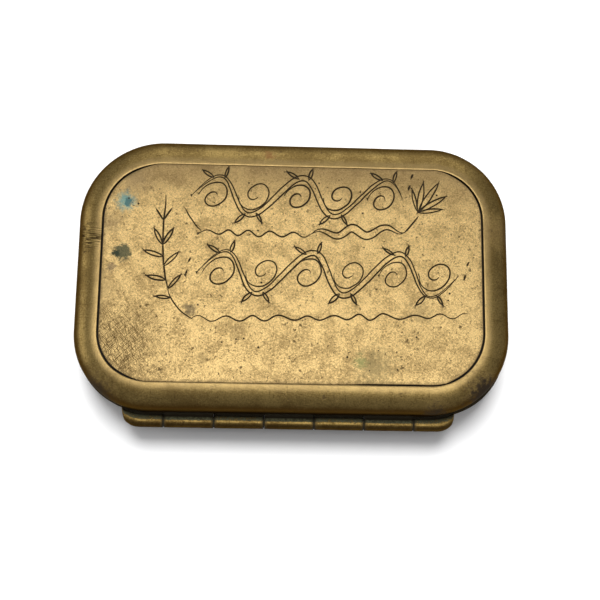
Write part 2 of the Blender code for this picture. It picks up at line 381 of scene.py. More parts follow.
def brassSurface(tree, position, look):
    # mottled metal, specks and two directions of rub marks
    tone = useGroup(tree, mottleGroup, {
        "Position": position, "Clean": look["clean"], "Worn": look["worn"], "Blotch": look["blotch"],
        "Grain": look["grain"], "Balance": look["balance"]})
    grain = cloud(tree, position, 0.22, 2.0, 0.6)
    surface = {
        "colour": tone["Color"],
        "rough": blendValue(tree, tone["Worn Mask"], look["rough"][0], look["rough"][1]),
        "metal": 1.0,
        "height": calc(tree, "MULTIPLY", grain, look["grainHeight"]),
        "edgeTint": look["edgeTint"],
    }
    for angle in look["hatchAngles"]:
        marks = rubMarks(tree, position, angle, look["hatchPitch"], look["hatchLength"],
                         look["hatchThreshold"])
        overlay(tree, surface, marks, look["hatchColour"], look["hatchWeight"], height=-0.4)
    for size, share, weight in look["specks"]:
        dots = useGroup(tree, specksGroup, {
            "Position": position, "Size": size, "Share": share, "Patch": look["speckPatch"]})["Mask"]
        overlay(tree, surface, dots, look["dirt"], weight, rough=0.6, metal=0.35, height=-0.9)
    return surface


# metals
plateLook = {
    "clean": (0.94, 0.66, 0.275), "worn": (0.60, 0.41, 0.165), "blotch": 3.2, "grain": 0.42,
    "balance": 0.54, "rough": (0.34, 0.46), "grainHeight": 1.5,
    "hatchAngles": (38, -47), "hatchPitch": 0.22, "hatchLength": 4.0, "hatchThreshold": 0.62,
    "hatchWeight": 0.28, "hatchColour": (0.30, 0.19, 0.07),
    "specks": ((0.36, 0.46, 0.55), (0.6, 0.30, 0.72), (1.0, 0.09, 0.9)), "speckPatch": 8.0,
    "dirt": (0.075, 0.048, 0.018), "depth": 0.035, "edgeTint": (0.85, 0.72, 0.50),
}
rimLook = {
    "clean": (0.47, 0.325, 0.11), "worn": (0.29, 0.193, 0.062), "blotch": 7.0, "grain": 0.35,
    "balance": 0.5, "rough": (0.34, 0.42), "grainHeight": 0.3,
    "hatchAngles": (86, 8), "hatchPitch": 0.26, "hatchLength": 4.0, "hatchThreshold": 0.63,
    "hatchWeight": 0.5, "hatchColour": (0.14, 0.09, 0.03),
    "specks": ((0.45, 0.16, 0.55), (0.8, 0.08, 0.7), (1.6, 0.035, 0.8)), "speckPatch": 11.0,
    "dirt": (0.03, 0.018, 0.007), "depth": 0.03, "edgeTint": (0.85, 0.72, 0.50),
    # the first colour is rubbed wear on the edges and a painted highlight on the roll beside the seam
    "rubAndHighlight": (0.80, 0.56, 0.24), "inside": (0.20, 0.135, 0.055),
}
hingeLook = {
    "clean": (0.42, 0.28, 0.085), "worn": (0.24, 0.15, 0.042), "blotch": 2.6, "grain": 0.3,
    "balance": 0.5, "rough": (0.34, 0.46), "grainHeight": 0.5,
    "hatchAngles": (0, 84), "hatchPitch": 0.2, "hatchLength": 3.5, "hatchThreshold": 0.62,
    "hatchWeight": 0.4, "hatchColour": (0.12, 0.075, 0.025),
    "specks": ((0.7, 0.1, 0.8), (1.5, 0.06, 0.9)), "speckPatch": 5.0,
    "dirt": (0.02, 0.013, 0.006), "depth": 0.035, "edgeTint": (0.85, 0.72, 0.50),
    # colour of the painted shade on the knuckles' foot, slit faces and bore
    "paintedShade": (0.018, 0.014, 0.008),
}
insideLook = {
    "clean": (0.50, 0.36, 0.15), "worn": (0.27, 0.19, 0.085), "blotch": 9.0, "grain": 0.5,
    "balance": 0.48, "rough": (0.36, 0.52), "grainHeight": 0.4,
    "hatchAngles": (4, 88), "hatchPitch": 0.3, "hatchLength": 14.0, "hatchThreshold": 0.62,
    "hatchWeight": 0.35, "hatchColour": (0.15, 0.1, 0.045),
    "specks": ((0.8, 0.08, 0.7), (1.9, 0.04, 0.8)), "speckPatch": 10.0,
    "dirt": (0.05, 0.035, 0.018), "depth": 0.03, "edgeTint": (0.85, 0.72, 0.50),
}

# stains on the lid: place, radius, ragged, softness, colour, weight
plateStains = [
    ((-32.2, 13.4, top), 2.7, 0.6, 0.85, (0.055, 0.25, 0.26), 0.8),
    ((-31.6, 13.2, top), 1.0, 0.8, 0.5, (0.015, 0.085, 0.10), 0.75),
    ((-32.5, 3.4, top), 2.1, 0.7, 0.5, (0.035, 0.05, 0.03), 0.9),
    ((-33.6, 3.2, top), 0.9, 0.5, 0.5, (0.018, 0.03, 0.02), 0.9),
    ((-34.4, 0.4, top), 1.2, 0.7, 0.6, (0.10, 0.07, 0.05), 0.7),
    ((15.3, -17.4, top), 5.2, 0.8, 0.95, (0.20, 0.155, 0.065), 0.75),
    ((12.6, -16.6, top), 1.8, 0.6, 0.8, (0.20, 0.24, 0.08), 0.6),
    ((-10.5, -11.5, top), 2.4, 1.1, 0.9, (0.14, 0.09, 0.035), 0.45),
    ((-16.5, -16.4, top), 1.6, 1.1, 0.8, (0.16, 0.105, 0.04), 0.45),
    ((-19.4, -7.4, top), 1.6, 0.7, 0.7, (0.06, 0.05, 0.035), 0.75),
    ((24.0, -7.0, top), 3.2, 1.0, 0.9, (0.17, 0.125, 0.055), 0.45),
    ((-30.5, 17.6, top), 4.5, 0.5, 0.95, (0.15, 0.105, 0.055), 0.55),
    ((-35.0, 9.0, top), 4.0, 0.5, 0.95, (0.17, 0.12, 0.06), 0.5),
    ((-36.4, -3.5, top), 5.5, 0.5, 0.95, (0.26, 0.18, 0.075), 0.5),
]
rimStains = [
    ((-5.2, 23.6, top), 1.6, 0.7, 0.8, (0.16, 0.045, 0.016), 0.6),
    ((-36.6, -22.8, top - 2), 5.6, 0.6, 0.9, (0.030, 0.018, 0.008), 0.9),
    ((35.6, -21.2, top - 2), 4.8, 0.6, 0.8, (0.022, 0.014, 0.009), 0.98),
    ((27.0, -24.6, top - 2.4), 3.2, 0.6, 0.8, (0.025, 0.016, 0.009), 0.85),
    ((38.2, 9.0, top - 1), 5.0, 0.5, 0.9, (0.09, 0.055, 0.02), 0.6),
]


def addStains(tree, position, surface, stains):
    for *shape, colour, weight in stains:
        overlay(tree, surface, stainSpot(tree, position, *shape), colour, weight, rough=0.6, metal=0.35)


def makePlateBrass():
    material, tree, position, shader = startMaterial("engraved plate brass")
    surface = brassSurface(tree, position, plateLook)
    # cross-hatched rubbing gathers in the hinge-side left corner
    corner = stainSpot(tree, position, (-33, -14, top), 13.0, 0.3, 0.95)
    for angle in (45, -44, 71):
        marks = calc(tree, "MULTIPLY", rubMarks(tree, position, angle, 0.12, 2.2, 0.54), corner)
        overlay(tree, surface, marks, (0.20, 0.125, 0.045), 0.8, rough=0.5, height=-0.5)
    # long scratches: angle, pitch, length
    for scratch in ((63, 0.176, 40.0), (-38, 0.224, 30.0), (12, 0.272, 45.0)):
        lines = rubMarks(tree, position, *scratch, 0.70)
        overlay(tree, surface, lines, (0.16, 0.10, 0.04), 0.4, height=-0.25)
    # darker towards the front seam
    parts = addNode(tree, "SeparateXYZ", {0: position})
    drift = ragOf(tree, position, 6.0, 4.0, 0.6)
    front = ramp(tree, calc(tree, "MULTIPLY_ADD", drift, 7.0, parts.outputs["Y"]), 11.0, 21.5)
    overlay(tree, surface, front, (0.30, 0.20, 0.085), 0.68, rough=0.5)
    addStains(tree, position, surface, plateStains)
    smudge = ramp(tree, attributeOf(tree, "groove"), 0.02, 0.42)
    overlay(tree, surface, smudge, (0.020, 0.014, 0.007), rough=0.62, metal=0.1)
    seam = calc(tree, "MULTIPLY_ADD", ragOf(tree, position, 1.2, 5.0, 0.7), 1.3, attributeOf(tree, "seam"))
    overlay(tree, surface, ramp(tree, seam, 0.5, 1.15), (0.12, 0.08, 0.035), 0.6, rough=0.6, metal=0.5)
    closeMaterial(tree, shader, surface, plateLook["depth"])
    return material


def makeRimBrass():
    material, tree, position, shader = startMaterial("rim brass")
    surface = brassSurface(tree, position, rimLook)
    # rubbed wear on the rim's edges and lip, and a painted highlight on the band of the roll beside the seam
    rubAndHighlight = useGroup(tree, rubAndHighlightGroup, {"Position": position, "Edge": attributeOf(tree, "edge"),
                                       "Break": 0.35})["Mask"]
    overlay(tree, surface, rubAndHighlight, rimLook["rubAndHighlight"], 0.85, rough=0.32)
    # a small hatched mark on the left side
    leaf = stainSpot(tree, position, (-38.6, 6.5, top - 0.8), 3.4, 0.25, 0.5)
    marks = calc(tree, "MULTIPLY", rubMarks(tree, position, 7, 0.16, 4.0, 0.5), leaf)
    overlay(tree, surface, marks, (0.07, 0.045, 0.018), height=-0.6)
    # painted shade: the wall and the lower roll are painted darker than the face, as the side turned away
    # from the light
    low = calc(tree, "MULTIPLY_ADD", ragOf(tree, position, 3.0, 4.0, 0.6), 0.4, attributeOf(tree, "low"))
    overlay(tree, surface, ramp(tree, low, 0.0, 0.7), (0.105, 0.052, 0.010), 0.93)
    addStains(tree, position, surface, rimStains)
    overlay(tree, surface, attributeOf(tree, "inside"), rimLook["inside"], rough=0.55)
    packed = ramp(tree, attributeOf(tree, "packed"), 0.1, 0.9)
    overlay(tree, surface, packed, (0.012, 0.009, 0.005), rough=0.7, metal=0.1)
    closeMaterial(tree, shader, surface, rimLook["depth"])
    return material


def makeHingeBrass():
    material, tree, position, shader = startMaterial("hinge brass")
    surface = brassSurface(tree, position, hingeLook)
    crust = useGroup(tree, verdigrisGroup, {"Position": position, "Amount": attributeOf(tree, "crust")})
    # painted shade: the barrel's outer side, away from the case, is painted darker brown
    overlay(tree, surface, attributeOf(tree, "outer"), (0.060, 0.030, 0.007), 0.8)
    overlay(tree, surface, crust["Mask"], crust["Color"], rough=0.75, metal=0.15)
    surface["height"] = calc(tree, "ADD", surface["height"], crust["Height"])
    # painted shade, near black, on the knuckles' foot by the case wall, their faces at the slits and the bore
    overlay(tree, surface, attributeOf(tree, "paintedShade"), hingeLook["paintedShade"], rough=0.7, metal=0.1)
    closeMaterial(tree, shader, surface, hingeLook["depth"])
    return material


def makeInsideBrass(name, tarnish):
    material, tree, position, shader = startMaterial(name)
    surface = brassSurface(tree, position, insideLook)
    film = ramp(tree, cloud(tree, position, 16.0, 4.0, 0.6, 0.8), 0.42, 0.66)
    overlay(tree, surface, film, (0.21, 0.115, 0.06), tarnish, rough=0.5)
    edge = ramp(tree, attributeOf(tree, "seam"), 0.1, 1.0)
    overlay(tree, surface, edge, (0.07, 0.052, 0.03), 0.7, rough=0.62, metal=0.5)
    dirt = ramp(tree, attributeOf(tree, "groove"), 0.02, 0.5)
    overlay(tree, surface, dirt, (0.03, 0.02, 0.01), rough=0.62, metal=0.2)
    closeMaterial(tree, shader, surface, insideLook["depth"])
    return material


def grainSurface(tree, grain, dark, pale, roughLow, roughHigh, metal=0.0, start=0.3, end=0.7):
    # two tones that follow one grain, which is the height too
    return {"colour": blendColour(tree, ramp(tree, grain, start, end), dark, pale),
            "rough": ramp(tree, grain, 0.3, 0.7, roughLow, roughHigh), "metal": metal, "height": grain}


def makeSolder():
    material, tree, position, shader = startMaterial("old solder")
    lumps = cloud(tree, position, 0.8, 4.0, 0.6)
    surface = grainSurface(tree, lumps, (0.085, 0.078, 0.06), (0.20, 0.185, 0.15), 0.62, 0.42, 0.85)
    packed = ramp(tree, attributeOf(tree, "packed"), 0.2, 0.6)
    overlay(tree, surface, packed, (0.010, 0.008, 0.005), rough=0.75, metal=0.0)
    closeMaterial(tree, shader, surface, 0.08)
    return material


def makeDirtAndShadeFill():
    # near-black dirt for the hinge slits, which also stands in as painted shade there
    material, tree, position, shader = startMaterial("packed dirt and painted shade")
    crumbs = cloud(tree, position, 0.25, 5.0, 0.7)
    surface = grainSurface(tree, crumbs, (0.008, 0.007, 0.004), (0.035, 0.03, 0.016), 0.85, 0.7)
    closeMaterial(tree, shader, surface, 0.06)
    return material


def makePinBrass():
    material, tree, position, shader = startMaterial("pin brass")
    streaks = cloud(tree, position, 0.4, 4.0, 0.6)
    surface = grainSurface(tree, streaks, (0.06, 0.042, 0.018), (0.26, 0.18, 0.07), 0.6, 0.4, 0.9, 0.35, 0.65)
    closeMaterial(tree, shader, surface, 0.03)
    return material


def makeCardStock():
    material, tree, position, shader = startMaterial("buff card")
    fibre = cloud(tree, position, 0.5, 6.0, 0.75, 0.6)
    surface = grainSurface(tree, fibre, (0.40, 0.30, 0.17), (0.56, 0.45, 0.29), 0.92, 0.8)
    age = ramp(tree, cloud(tree, position, 14.0, 3.0, 0.5), 0.45, 0.7, 0.0, 0.5)
    overlay(tree, surface, age, (0.30, 0.20, 0.10))
    closeMaterial(tree, shader, surface, 0.05)
    return material


def makeFlannel():
    material, tree, position, shader = startMaterial("cream wool flannel")
    nap = cloud(tree, position, 0.28, 6.0, 0.8, 1.2)
    felted = cloud(tree, position, 1.5, 5.0, 0.7, 0.8)
    age = cloud(tree, position, 15.0, 3.0, 0.55)
    surface = grainSurface(tree, nap, (0.50, 0.42, 0.29), (0.72, 0.65, 0.50), 0.98, 0.88)
    overlay(tree, surface, ramp(tree, felted, 0.4, 0.7, 0.0, 0.4), (0.46, 0.37, 0.24))
    overlay(tree, surface, ramp(tree, age, 0.5, 0.75, 0.0, 0.45), (0.40, 0.28, 0.15))
    pricks = useGroup(tree, specksGroup, {"Position": position, "Size": 1.7, "Share": 0.05, "Patch": 12.0})
    overlay(tree, surface, pricks["Mask"], (0.20, 0.11, 0.05), 0.6)
    surface["height"] = calc(tree, "ADD", nap, calc(tree, "MULTIPLY", felted, 1.3))
    closeMaterial(tree, shader, surface, 0.16)
    shader.inputs["Sheen Weight"].default_value = 0.35
    shader.inputs["Sheen Roughness"].default_value = 0.5
    shader.inputs["Specular IOR Level"].default_value = 0.2
    return material


def makeThread():
    material, tree, position, shader = startMaterial("madder thread")
    twist = addNode(tree, "TexWave", {"Vector": position, "Scale": 2.6, "Distortion": 1.5, "Detail": 2.0},
                    wave_type="BANDS", bands_direction="DIAGONAL").outputs["Fac"]
    surface = {"colour": blendColour(tree, twist, (0.16, 0.022, 0.016), (0.36, 0.06, 0.04)),
               "rough": ramp(tree, twist, 0.0, 1.0, 0.85, 0.7), "metal": 0.0, "height": twist}
    fade = ramp(tree, cloud(tree, position, 5.0, 3.0, 0.6), 0.4, 0.7, 0.0, 0.5)
    overlay(tree, surface, fade, (0.40, 0.13, 0.08))
    closeMaterial(tree, shader, surface, 0.05)
    shader.inputs["Sheen Weight"].default_value = 0.3
    return material


def makeFloorPaper():
    # pale paper; reflections in the metal see it a little darker, as a shaded table would be
    material, tree, position, shader = startMaterial("pale paper")
    tree.nodes.remove(shader)
    tone = cloud(tree, position, 60.0, 2.0, 0.5)
    pale = blendColour(tree, tone, floorSet["colour"], [value * 0.98 for value in floorSet["colour"]])
    paths = addNode(tree, "LightPath")
    colour = blendColour(tree, paths.outputs["Is Glossy Ray"], pale, floorSet["inReflections"])
    sheet = addNode(tree, "BsdfDiffuse", {"Color": colour})
    output = tree.nodes["Material Output"]
    tree.links.new(sheet.outputs[0], output.inputs["Surface"])
    return material


plateBrass = makePlateBrass()
rimBrass = makeRimBrass()
hingeBrass = makeHingeBrass()
insideLidBrass = makeInsideBrass("inside brass of the lid", 0.55)
insideBaseBrass = makeInsideBrass("inside brass of the base", 0.7)
solder = makeSolder()
dirtAndShadeFill = makeDirtAndShadeFill()
pinBrass = makePinBrass()
cardStock = makeCardStock()
flannel = makeFlannel()
thread = makeThread()
floorPaper = makeFloorPaper()
print("materials built")


def makeFloor():
    half = floorSet["size"] / 2
    steps = 8
    spots = [-half + 2 * half * step / steps for step in range(steps + 1)]
    points = [(x, y, 0) for y in spots for x in spots]
    row = steps + 1
    faces = [(a, a + 1, a + 1 + row, a + row) for y in range(steps) for a in range(y * row, y * row + steps)]
    floor = buildMesh("studio_floor", points, faces, materials=[floorPaper])


def makeWorld():
    # white behind the case, soft grey light from all round
    world = bpy.data.worlds.new("studio")
    bpy.context.scene.world = world
    world.use_nodes = True
    tree = world.node_tree
    paths = addNode(tree, "LightPath")
    colour = blendColour(tree, paths.outputs["Is Camera Ray"], worldSet["light"], worldSet["seen"])
    feed(tree, tree.nodes["Background"].inputs["Color"], colour)


# geometry shared by the pieces
def planPath(inset, arcSteps=None, straightStep=None, radii=None):
    # points and outward normals round the case, counter-clockwise, moved in by inset
    arcSteps = arcSteps or case["arcSteps"]
    straightStep = straightStep or case["straightStep"]
    hx, hy, radii = case["halfLength"], case["halfWidth"], radii or case["corners"]
    corners = [(hx, -hy, radii["hingeRight"], -90), (hx, hy, radii["frontRight"], 0),
               (-hx, hy, radii["frontLeft"], 90), (-hx, -hy, radii["hingeLeft"], 180)]
    path = []
    for cornerX, cornerY, radius, start in corners:
        centre = Vector((cornerX - math.copysign(radius, cornerX), cornerY - math.copysign(radius, cornerY)))
        for step in range(arcSteps + 1):
            angle = math.radians(start + 90 * step / arcSteps)
            out = Vector((math.cos(angle), math.sin(angle)))
            path.append((centre + out * (radius - inset), out))
    filled = []
    for (spot, out), (nextSpot, nextOut) in zip(path, path[1:] + path[:1]):
        pieces = max(1, round((nextSpot - spot).length / straightStep))
        for piece in range(pieces):
            share = piece / pieces
            filled.append((spot.lerp(nextSpot, share), out.lerp(nextOut, share).normalized()))
    return filled


def buildMesh(name, points, faces, attributes=None, smoothAngle=30, materials=(), slots=None):
    # points in millimetres; attributes is a dictionary of one number per point
    mesh = bpy.data.meshes.new(name)
    mesh.from_pydata([Vector(point) * mm for point in points], [], faces)
    if slots:
        mesh.polygons.foreach_set("material_index", slots)
    for label, values in (attributes or {}).items():
        mesh.attributes.new(label, "FLOAT", "POINT").data.foreach_set("value", values)
    shell = bmesh.new()
    shell.from_mesh(mesh)
    bmesh.ops.recalc_face_normals(shell, faces=shell.faces)
    shell.to_mesh(mesh)
    shell.free()
    mesh.shade_smooth()
    mesh.set_sharp_from_angle(angle=math.radians(smoothAngle))
    for material in materials:
        mesh.materials.append(material)
    piece = bpy.data.objects.new(name, mesh)
    bpy.context.scene.collection.objects.link(piece)
    return piece


def ringFaces(first, rings, sides, closed=False):
    # quads from each ring of points to the next, and from the last to the first when closed
    faces = []
    for ring in range(rings if closed else rings - 1):
        low, high = first + ring * sides, first + (ring + 1) % rings * sides
        for side in range(sides):
            after = (side + 1) % sides
            faces.append((low + side, low + after, high + after, high + side))
    return faces


def treeOf(spots):
    # finds the nearest of some places in plan
    tree = KDTree(max(1, len(spots)))
    for index, spot in enumerate(spots):
        tree.insert((spot[0], spot[1], 0), index)
    tree.balance()
    return tree


def handUneven(x, y, z, size, seed=0.0):
    # slow smooth unevenness of hand-worked sheet, -1 to 1
    return noise.noise(Vector((x, y, z)) / size + Vector((seed, 1.7 * seed, -seed)))


def easeStep(value, start, end):
    share = min(1.0, max(0.0, (value - start) / (end - start)))
    return share * share * (3 - 2 * share)


makeWorld()
makeFloor()
print("floor and world set")


# rims, bezel and solder, swept round the plan
rimShape = {
    "rollSteps": 28,
    "wallStep": 0.5,
    "edgeRound": 0.14,
    "inward": 0.05,      # how far hand finishing takes the wall in
    "sag": 0.03,         # and the face down
}
bezelShape = {"edgeRound": 0.13, "step": 0.6, "uneven": 0.09, "thick": 0.5}
solderShape = {"low": 0.82, "lidThick": 0.34, "baseThick": 0.13}


def rimSection(depth):
    # (inset, drop from the face, edge, low, inside, packed) down the outside and back up the inside
    reach, drop, wall = case["rimReach"], case["rimDrop"], case["wall"]
    edge = rimShape["edgeRound"]
    section = [(reach, 0.7, 0, 0, 1, 1), (reach, edge, 0.0, 0, 0.3, 1),
               (reach - edge * 0.3, edge * 0.35, 0.3, 0, 0, 0.35), (reach - edge, edge * 0.08, 0.75, 0, 0, 0)]
    for step in range(1, rimShape["rollSteps"] + 1):
        angle = math.radians(90 * step / rimShape["rollSteps"])
        inset = reach * (1 - math.sin(angle))
        if inset > reach - edge * 1.5:
            continue
        fall = drop * (1 - math.cos(angle))
        # the edge column over the first steps of the roll, beside the seam, is a painted highlight
        # the low column grows as the roll turns down, carrying the painted shade
        section.append((inset, fall, 0.55 * (1 - easeStep(step, 2, 9)), easeStep(fall, 0.25, 2.6), 0, 0))
    wallSteps = round((depth - drop) / rimShape["wallStep"])
    # the wall rows take the full painted shade in the low column
    for step in range(1, wallSteps):
        section.append((0, drop + (depth - drop - edge) * step / wallSteps, 0, 1, 0, 0))
    section += [(0, depth - edge, 0.5, 1, 0, 0), (edge * 0.3, depth - edge * 0.3, 1.1, 0, 0, 0),
                (edge, depth, 0.9, 0, 0, 0), (wall - edge, depth, 0.5, 0, 0.3, 0),
                (wall - edge * 0.3, depth - edge * 0.3, 0.8, 0, 0.4, 0), (wall, depth - edge, 0.2, 0, 1, 0)]
    for step in range(wallSteps - 1, -1, -1):
        section.append((wall, drop + (depth - drop - edge) * step / wallSteps, 0, 0, 1, 0))
    for step in range(15, -1, -1):
        angle = math.radians(90 * step / 16)
        inset, fall = reach - (reach - wall) * math.sin(angle), drop - (drop - wall) * math.cos(angle)
        section.append((inset, fall, 0, 0, 1, 0))
    return section


def sweepRing(name, section, place, materials, seed, inward=0.0, sag=0.0, attributes=(), radii=None):
    # place turns a drop into a height; unevenness only ever takes metal away
    path = planPath(0.0, radii=radii)
    wall = case["wall"]
    count = len(section)
    points = []
    for spot, out in path:
        for inset, drop, *_ in section:
            slow = 0.5 + 0.5 * handUneven(spot.x, spot.y, drop, 9.0, seed)
            quick = 0.5 + 0.5 * handUneven(spot.x, spot.y, drop * 2, 2.5, seed + 3)
            moved = inset + inward * (0.8 * slow + 0.2 * quick)
            if moved > wall:
                moved = wall + (moved - wall) * (reachAt(out) - wall) / (case["rimReach"] - wall)
            lowered = drop + sag * slow * (1 if drop < 1 else 0)
            flat = spot - out * moved
            points.append((flat.x, flat.y, place(lowered)))
    rings = len(path)
    faces = []
    for ring in range(rings):
        after = (ring + 1) % rings
        for side in range(count):
            other = (side + 1) % count
            low, high = ring * count, after * count
            faces.append((low + side, high + side, high + other, low + other))
    columns = {label: [row[2 + index] for row in section] * rings for index, label in enumerate(attributes)}
    return buildMesh(name, points, faces, columns, 40, materials)


def reachAt(out):
    # how far in the rim comes, by the way the wall faces
    return case["rimReach"] + (case["leftReach"] - case["rimReach"]) * easeStep(-out.x, 0.2, 0.9)


def makeRims():
    labels = ("edge", "low", "inside", "packed")
    lidRim = sweepRing("lid_rim_rolled", rimSection(top - lidLip), lambda drop: top - drop, [rimBrass], 1.3,
                       rimShape["inward"], rimShape["sag"], labels)
    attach(lidRim, "lid")
    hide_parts("lid_rim")
    # dirt gathers all along the base's lip, under the lid's
    baseSection = []
    for inset, drop, edge, low, inside, packed in rimSection(baseLip):
        atLip = 0.8 * easeStep(drop, baseLip - 0.45, baseLip - 0.1)
        baseSection.append((inset, drop, edge * 0.25, low, inside, max(packed, atLip)))
    baseRim = sweepRing("base_rim_rolled", baseSection, lambda drop: drop, [rimBrass], 7.9,
                        rimShape["inward"], rimShape["sag"], labels, case["baseCorners"])
    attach(baseRim, "base")
    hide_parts("base_rim")


def makeBezel():
    outside = case["halfLength"] - bezelHigh.x
    inside = outside + bezelShape["thick"]
    low, high, edge = bezelLow.z, bezelHigh.z, bezelShape["edgeRound"]
    steps = round((high - low) / bezelShape["step"])
    rise = [low + (high - edge - low) * step / steps for step in range(steps + 1)]
    section = [(outside, z, 0, 0, 0.2) for z in rise]
    section += [(outside + edge * 0.3, high - edge * 0.3, 1, 0, 0), (outside + edge, high, 0.9, 0, 0),
                (inside - edge, high, 0.9, 0, 0), (inside - edge * 0.3, high - edge * 0.3, 1, 0, 0)]
    section += [(inside, z, 0, 0, 0.75) for z in reversed(rise)]

    def cutDown(z):
        return z - (bezelShape["uneven"] * 0.5 if z > high - 0.3 else 0)

    labels = ("edge", "low", "inside")
    bezel = sweepRing("base_bezel_strip", section, cutDown, [rimBrass], 4.4, attributes=labels)
    for vertex in bezel.data.vertices:
        x, y, z = vertex.co / mm
        if z > high - 0.6:
            vertex.co.z -= bezelShape["uneven"] * 0.5 * (0.5 + 0.5 * handUneven(x, y, 0, 6.0, 5.5)) * mm
    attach(bezel, "base")
    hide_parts("base_bezel")


def makeSolderBead(name, thick, place, body):
    # low ragged bead over the joint of plate and rim, on the inside
    reach, low = case["rimReach"], solderShape["low"]
    section = [(reach - 0.3, low, 0), (reach - 0.18, low + thick * 0.55, 0),
               (reach + 0.05, low + thick * 0.95, 0),
               (reach + 0.3, low + thick, 0), (reach + 0.5, low + thick * 0.5, 0),
               (reach + 0.68, low, 0.3), (reach + 0.5, low - 0.01, 1), (reach - 0.1, low - 0.01, 1)]
    bead = sweepRing(name, section, place, [solder], 11.0, 0.22, 0.0, ("packed",))
    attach(bead, body)


makeRims()
makeBezel()
makeSolderBead("lid_solder_bead", solderShape["lidThick"], lambda drop: top - drop, "lid")
makeSolderBead("base_solder_bead", solderShape["baseThick"], lambda drop: drop, "base")
print("rims, bezel and solder swept")


# the engraver's drawing: every cut is a list of points and a width
engraving = {"width": 0.38, "depth": 0.38, "wobble": 0.08, "step": 0.3, "seed": 18}
cuts = []
hand = random.Random(engraving["seed"])
noise.seed_set(engraving["seed"])  # noise_vector starts from the clock without it


def bendLine(start, heading, length, bendStart=0.0, bendEnd=0.0):
    # a line that turns by so many degrees per millimetre, changing evenly along it
    x, y = start
    steps = max(4, round(length / engraving["step"]))
    pace = length / steps
    turn = math.radians(heading)
    line = [(x, y)]
    for step in range(steps):
        turn += math.radians(bendStart + (bendEnd - bendStart) * (step + 0.5) / steps) * pace
        x += math.cos(turn) * pace
        y += math.sin(turn) * pace
        line.append((x, y))
    return line


def headingAt(line, index):
    before, after = line[max(0, index - 1)], line[min(len(line) - 1, index + 1)]
    return math.degrees(math.atan2(after[1] - before[1], after[0] - before[0]))


def cut(line, width=None):
    # keeps the cut, with the small shake of a hand-pushed graver
    width = (width or engraving["width"]) * hand.uniform(0.82, 1.15)
    shift = hand.uniform(0, 50)
    shaken = []
    for x, y in line:
        lean = Vector((x * 0.55 + shift, y * 0.55, 0))
        push = noise.noise_vector(lean) * engraving["wobble"] + noise.noise_vector(lean * 0.3) * 0.12
        shaken.append((x + push.x, y + push.y))
    cuts.append((shaken, width))


def cutSwelling(line, spread, start=0.0, end=1.0):
    # two cuts that part and meet again, as in a shaded stroke
    last = len(line) - 1
    for side in (0.5, -0.5):
        moved = []
        for index, (x, y) in enumerate(line):
            share = (index / last - start) / (end - start)
            off = side * spread * math.sin(math.pi * share) ** 0.8 if 0 < share < 1 else 0
            turn = math.radians(headingAt(line, index))
            moved.append((x - math.sin(turn) * off, y + math.cos(turn) * off))
        cut(moved)


def cutLeaf(base, heading, length, spread):
    for side in (1, -1):
        bend = -side * 2 * spread / length
        cut(bendLine(base, heading + side * spread, length, bend, bend))


def cutWave(start, endX, rise, swing, pitch, uneven=0.45):
    # no two waves are alike when uneven is above nothing
    steps = round(abs(endX - start[0]) / engraving["step"])
    line = []
    for step in range(steps + 1):
        run = (endX - start[0]) * step / steps
        drift = noise.noise(Vector((run * 0.13, pitch, swing)))
        phase = 2 * math.pi * run / pitch + uneven * 2.6 * drift
        height = swing * (1 + uneven * 1.3 * drift) * math.sin(phase)
        line.append((start[0] + run, start[1] + rise * run + height))
    return line


def cutPeck(x, y, heading=64, length=0.8):
    cut(bendLine((x, y), heading, length), 0.5)


def scrollLine(centreX, centreY, radius, side, lean, turns=1.4, eye=0.24):
    # a scroll that winds in to its eye, over the top when side is 1
    steps = round(2 * math.pi * radius * turns * 0.62 / engraving["step"])
    line = []
    for step in range(steps + 1):
        share = step / steps
        angle = math.pi - side * 2 * math.pi * turns * share
        tight = max(0.0, (share - 0.2) / 0.8) ** 0.85
        size = radius * (1 - (1 - eye) * tight)
        rise = size * math.sin(angle)
        line.append((centreX + size * math.cos(angle) + lean * rise, centreY + rise))
    return line


def cutVineRow(startX, startY, endX, halfWaves, swing):
    # a waving double stem with a tendril curled in each bend and leaves outside it
    pitch = 2 * (endX - startX) / halfWaves
    slant = 0.28
    stem = [(x + slant * (y - startY), y) for x, y in cutWave((startX, startY), endX, 0.0, swing, pitch, 0.0)]
    cutSwelling(stem, 1.05)
    for index in range(halfWaves):
        side = 1 if index % 2 == 0 else -1
        middle = startX + pitch * (0.25 + 0.5 * index)
        radius = pitch * 0.185 * hand.uniform(0.93, 1.05)
        line = scrollLine(middle, startY - side * 0.35, radius, side, slant)
        cut(line[1:])
        for spread, length, lean in ((46, 3.0, 0.36), (-30, 2.6, 0.62)):
            place = round(len(stem) * (index + lean) / halfWaves)
            cutLeaf(stem[place], side * (90 + spread) + (12 if side > 0 else 0), length, 30)


def cutSprig():
    # a bare tip with two twigs, then leaves in pairs, then the stem turns into the long wave
    stem = bendLine((-24.7, 14.6), -92, 18.8, -0.2, 2.2)
    last = len(stem) - 1
    cut(stem)
    for heading in (58, 126):
        cut(bendLine(stem[round(last * 0.25)], heading, 2.7))
    for share, heading, length in ((0.50, 120, 3.8), (0.50, 60, 4.0), (0.64, 162, 4.2), (0.73, 46, 4.2),
                                   (0.88, 168, 4.2), (0.97, 50, 4.0)):
        cutLeaf(stem[round(last * share)], heading, length, 24)
    turn = bendLine(stem[-1], headingAt(stem, last), 7.0, 8.0, 5.0)
    cut(turn)
    cutLeaf(turn[4], 176, 3.4, 22)
    cut(cutWave(turn[-1], 32.5, 0.03, 0.5, 5.0))


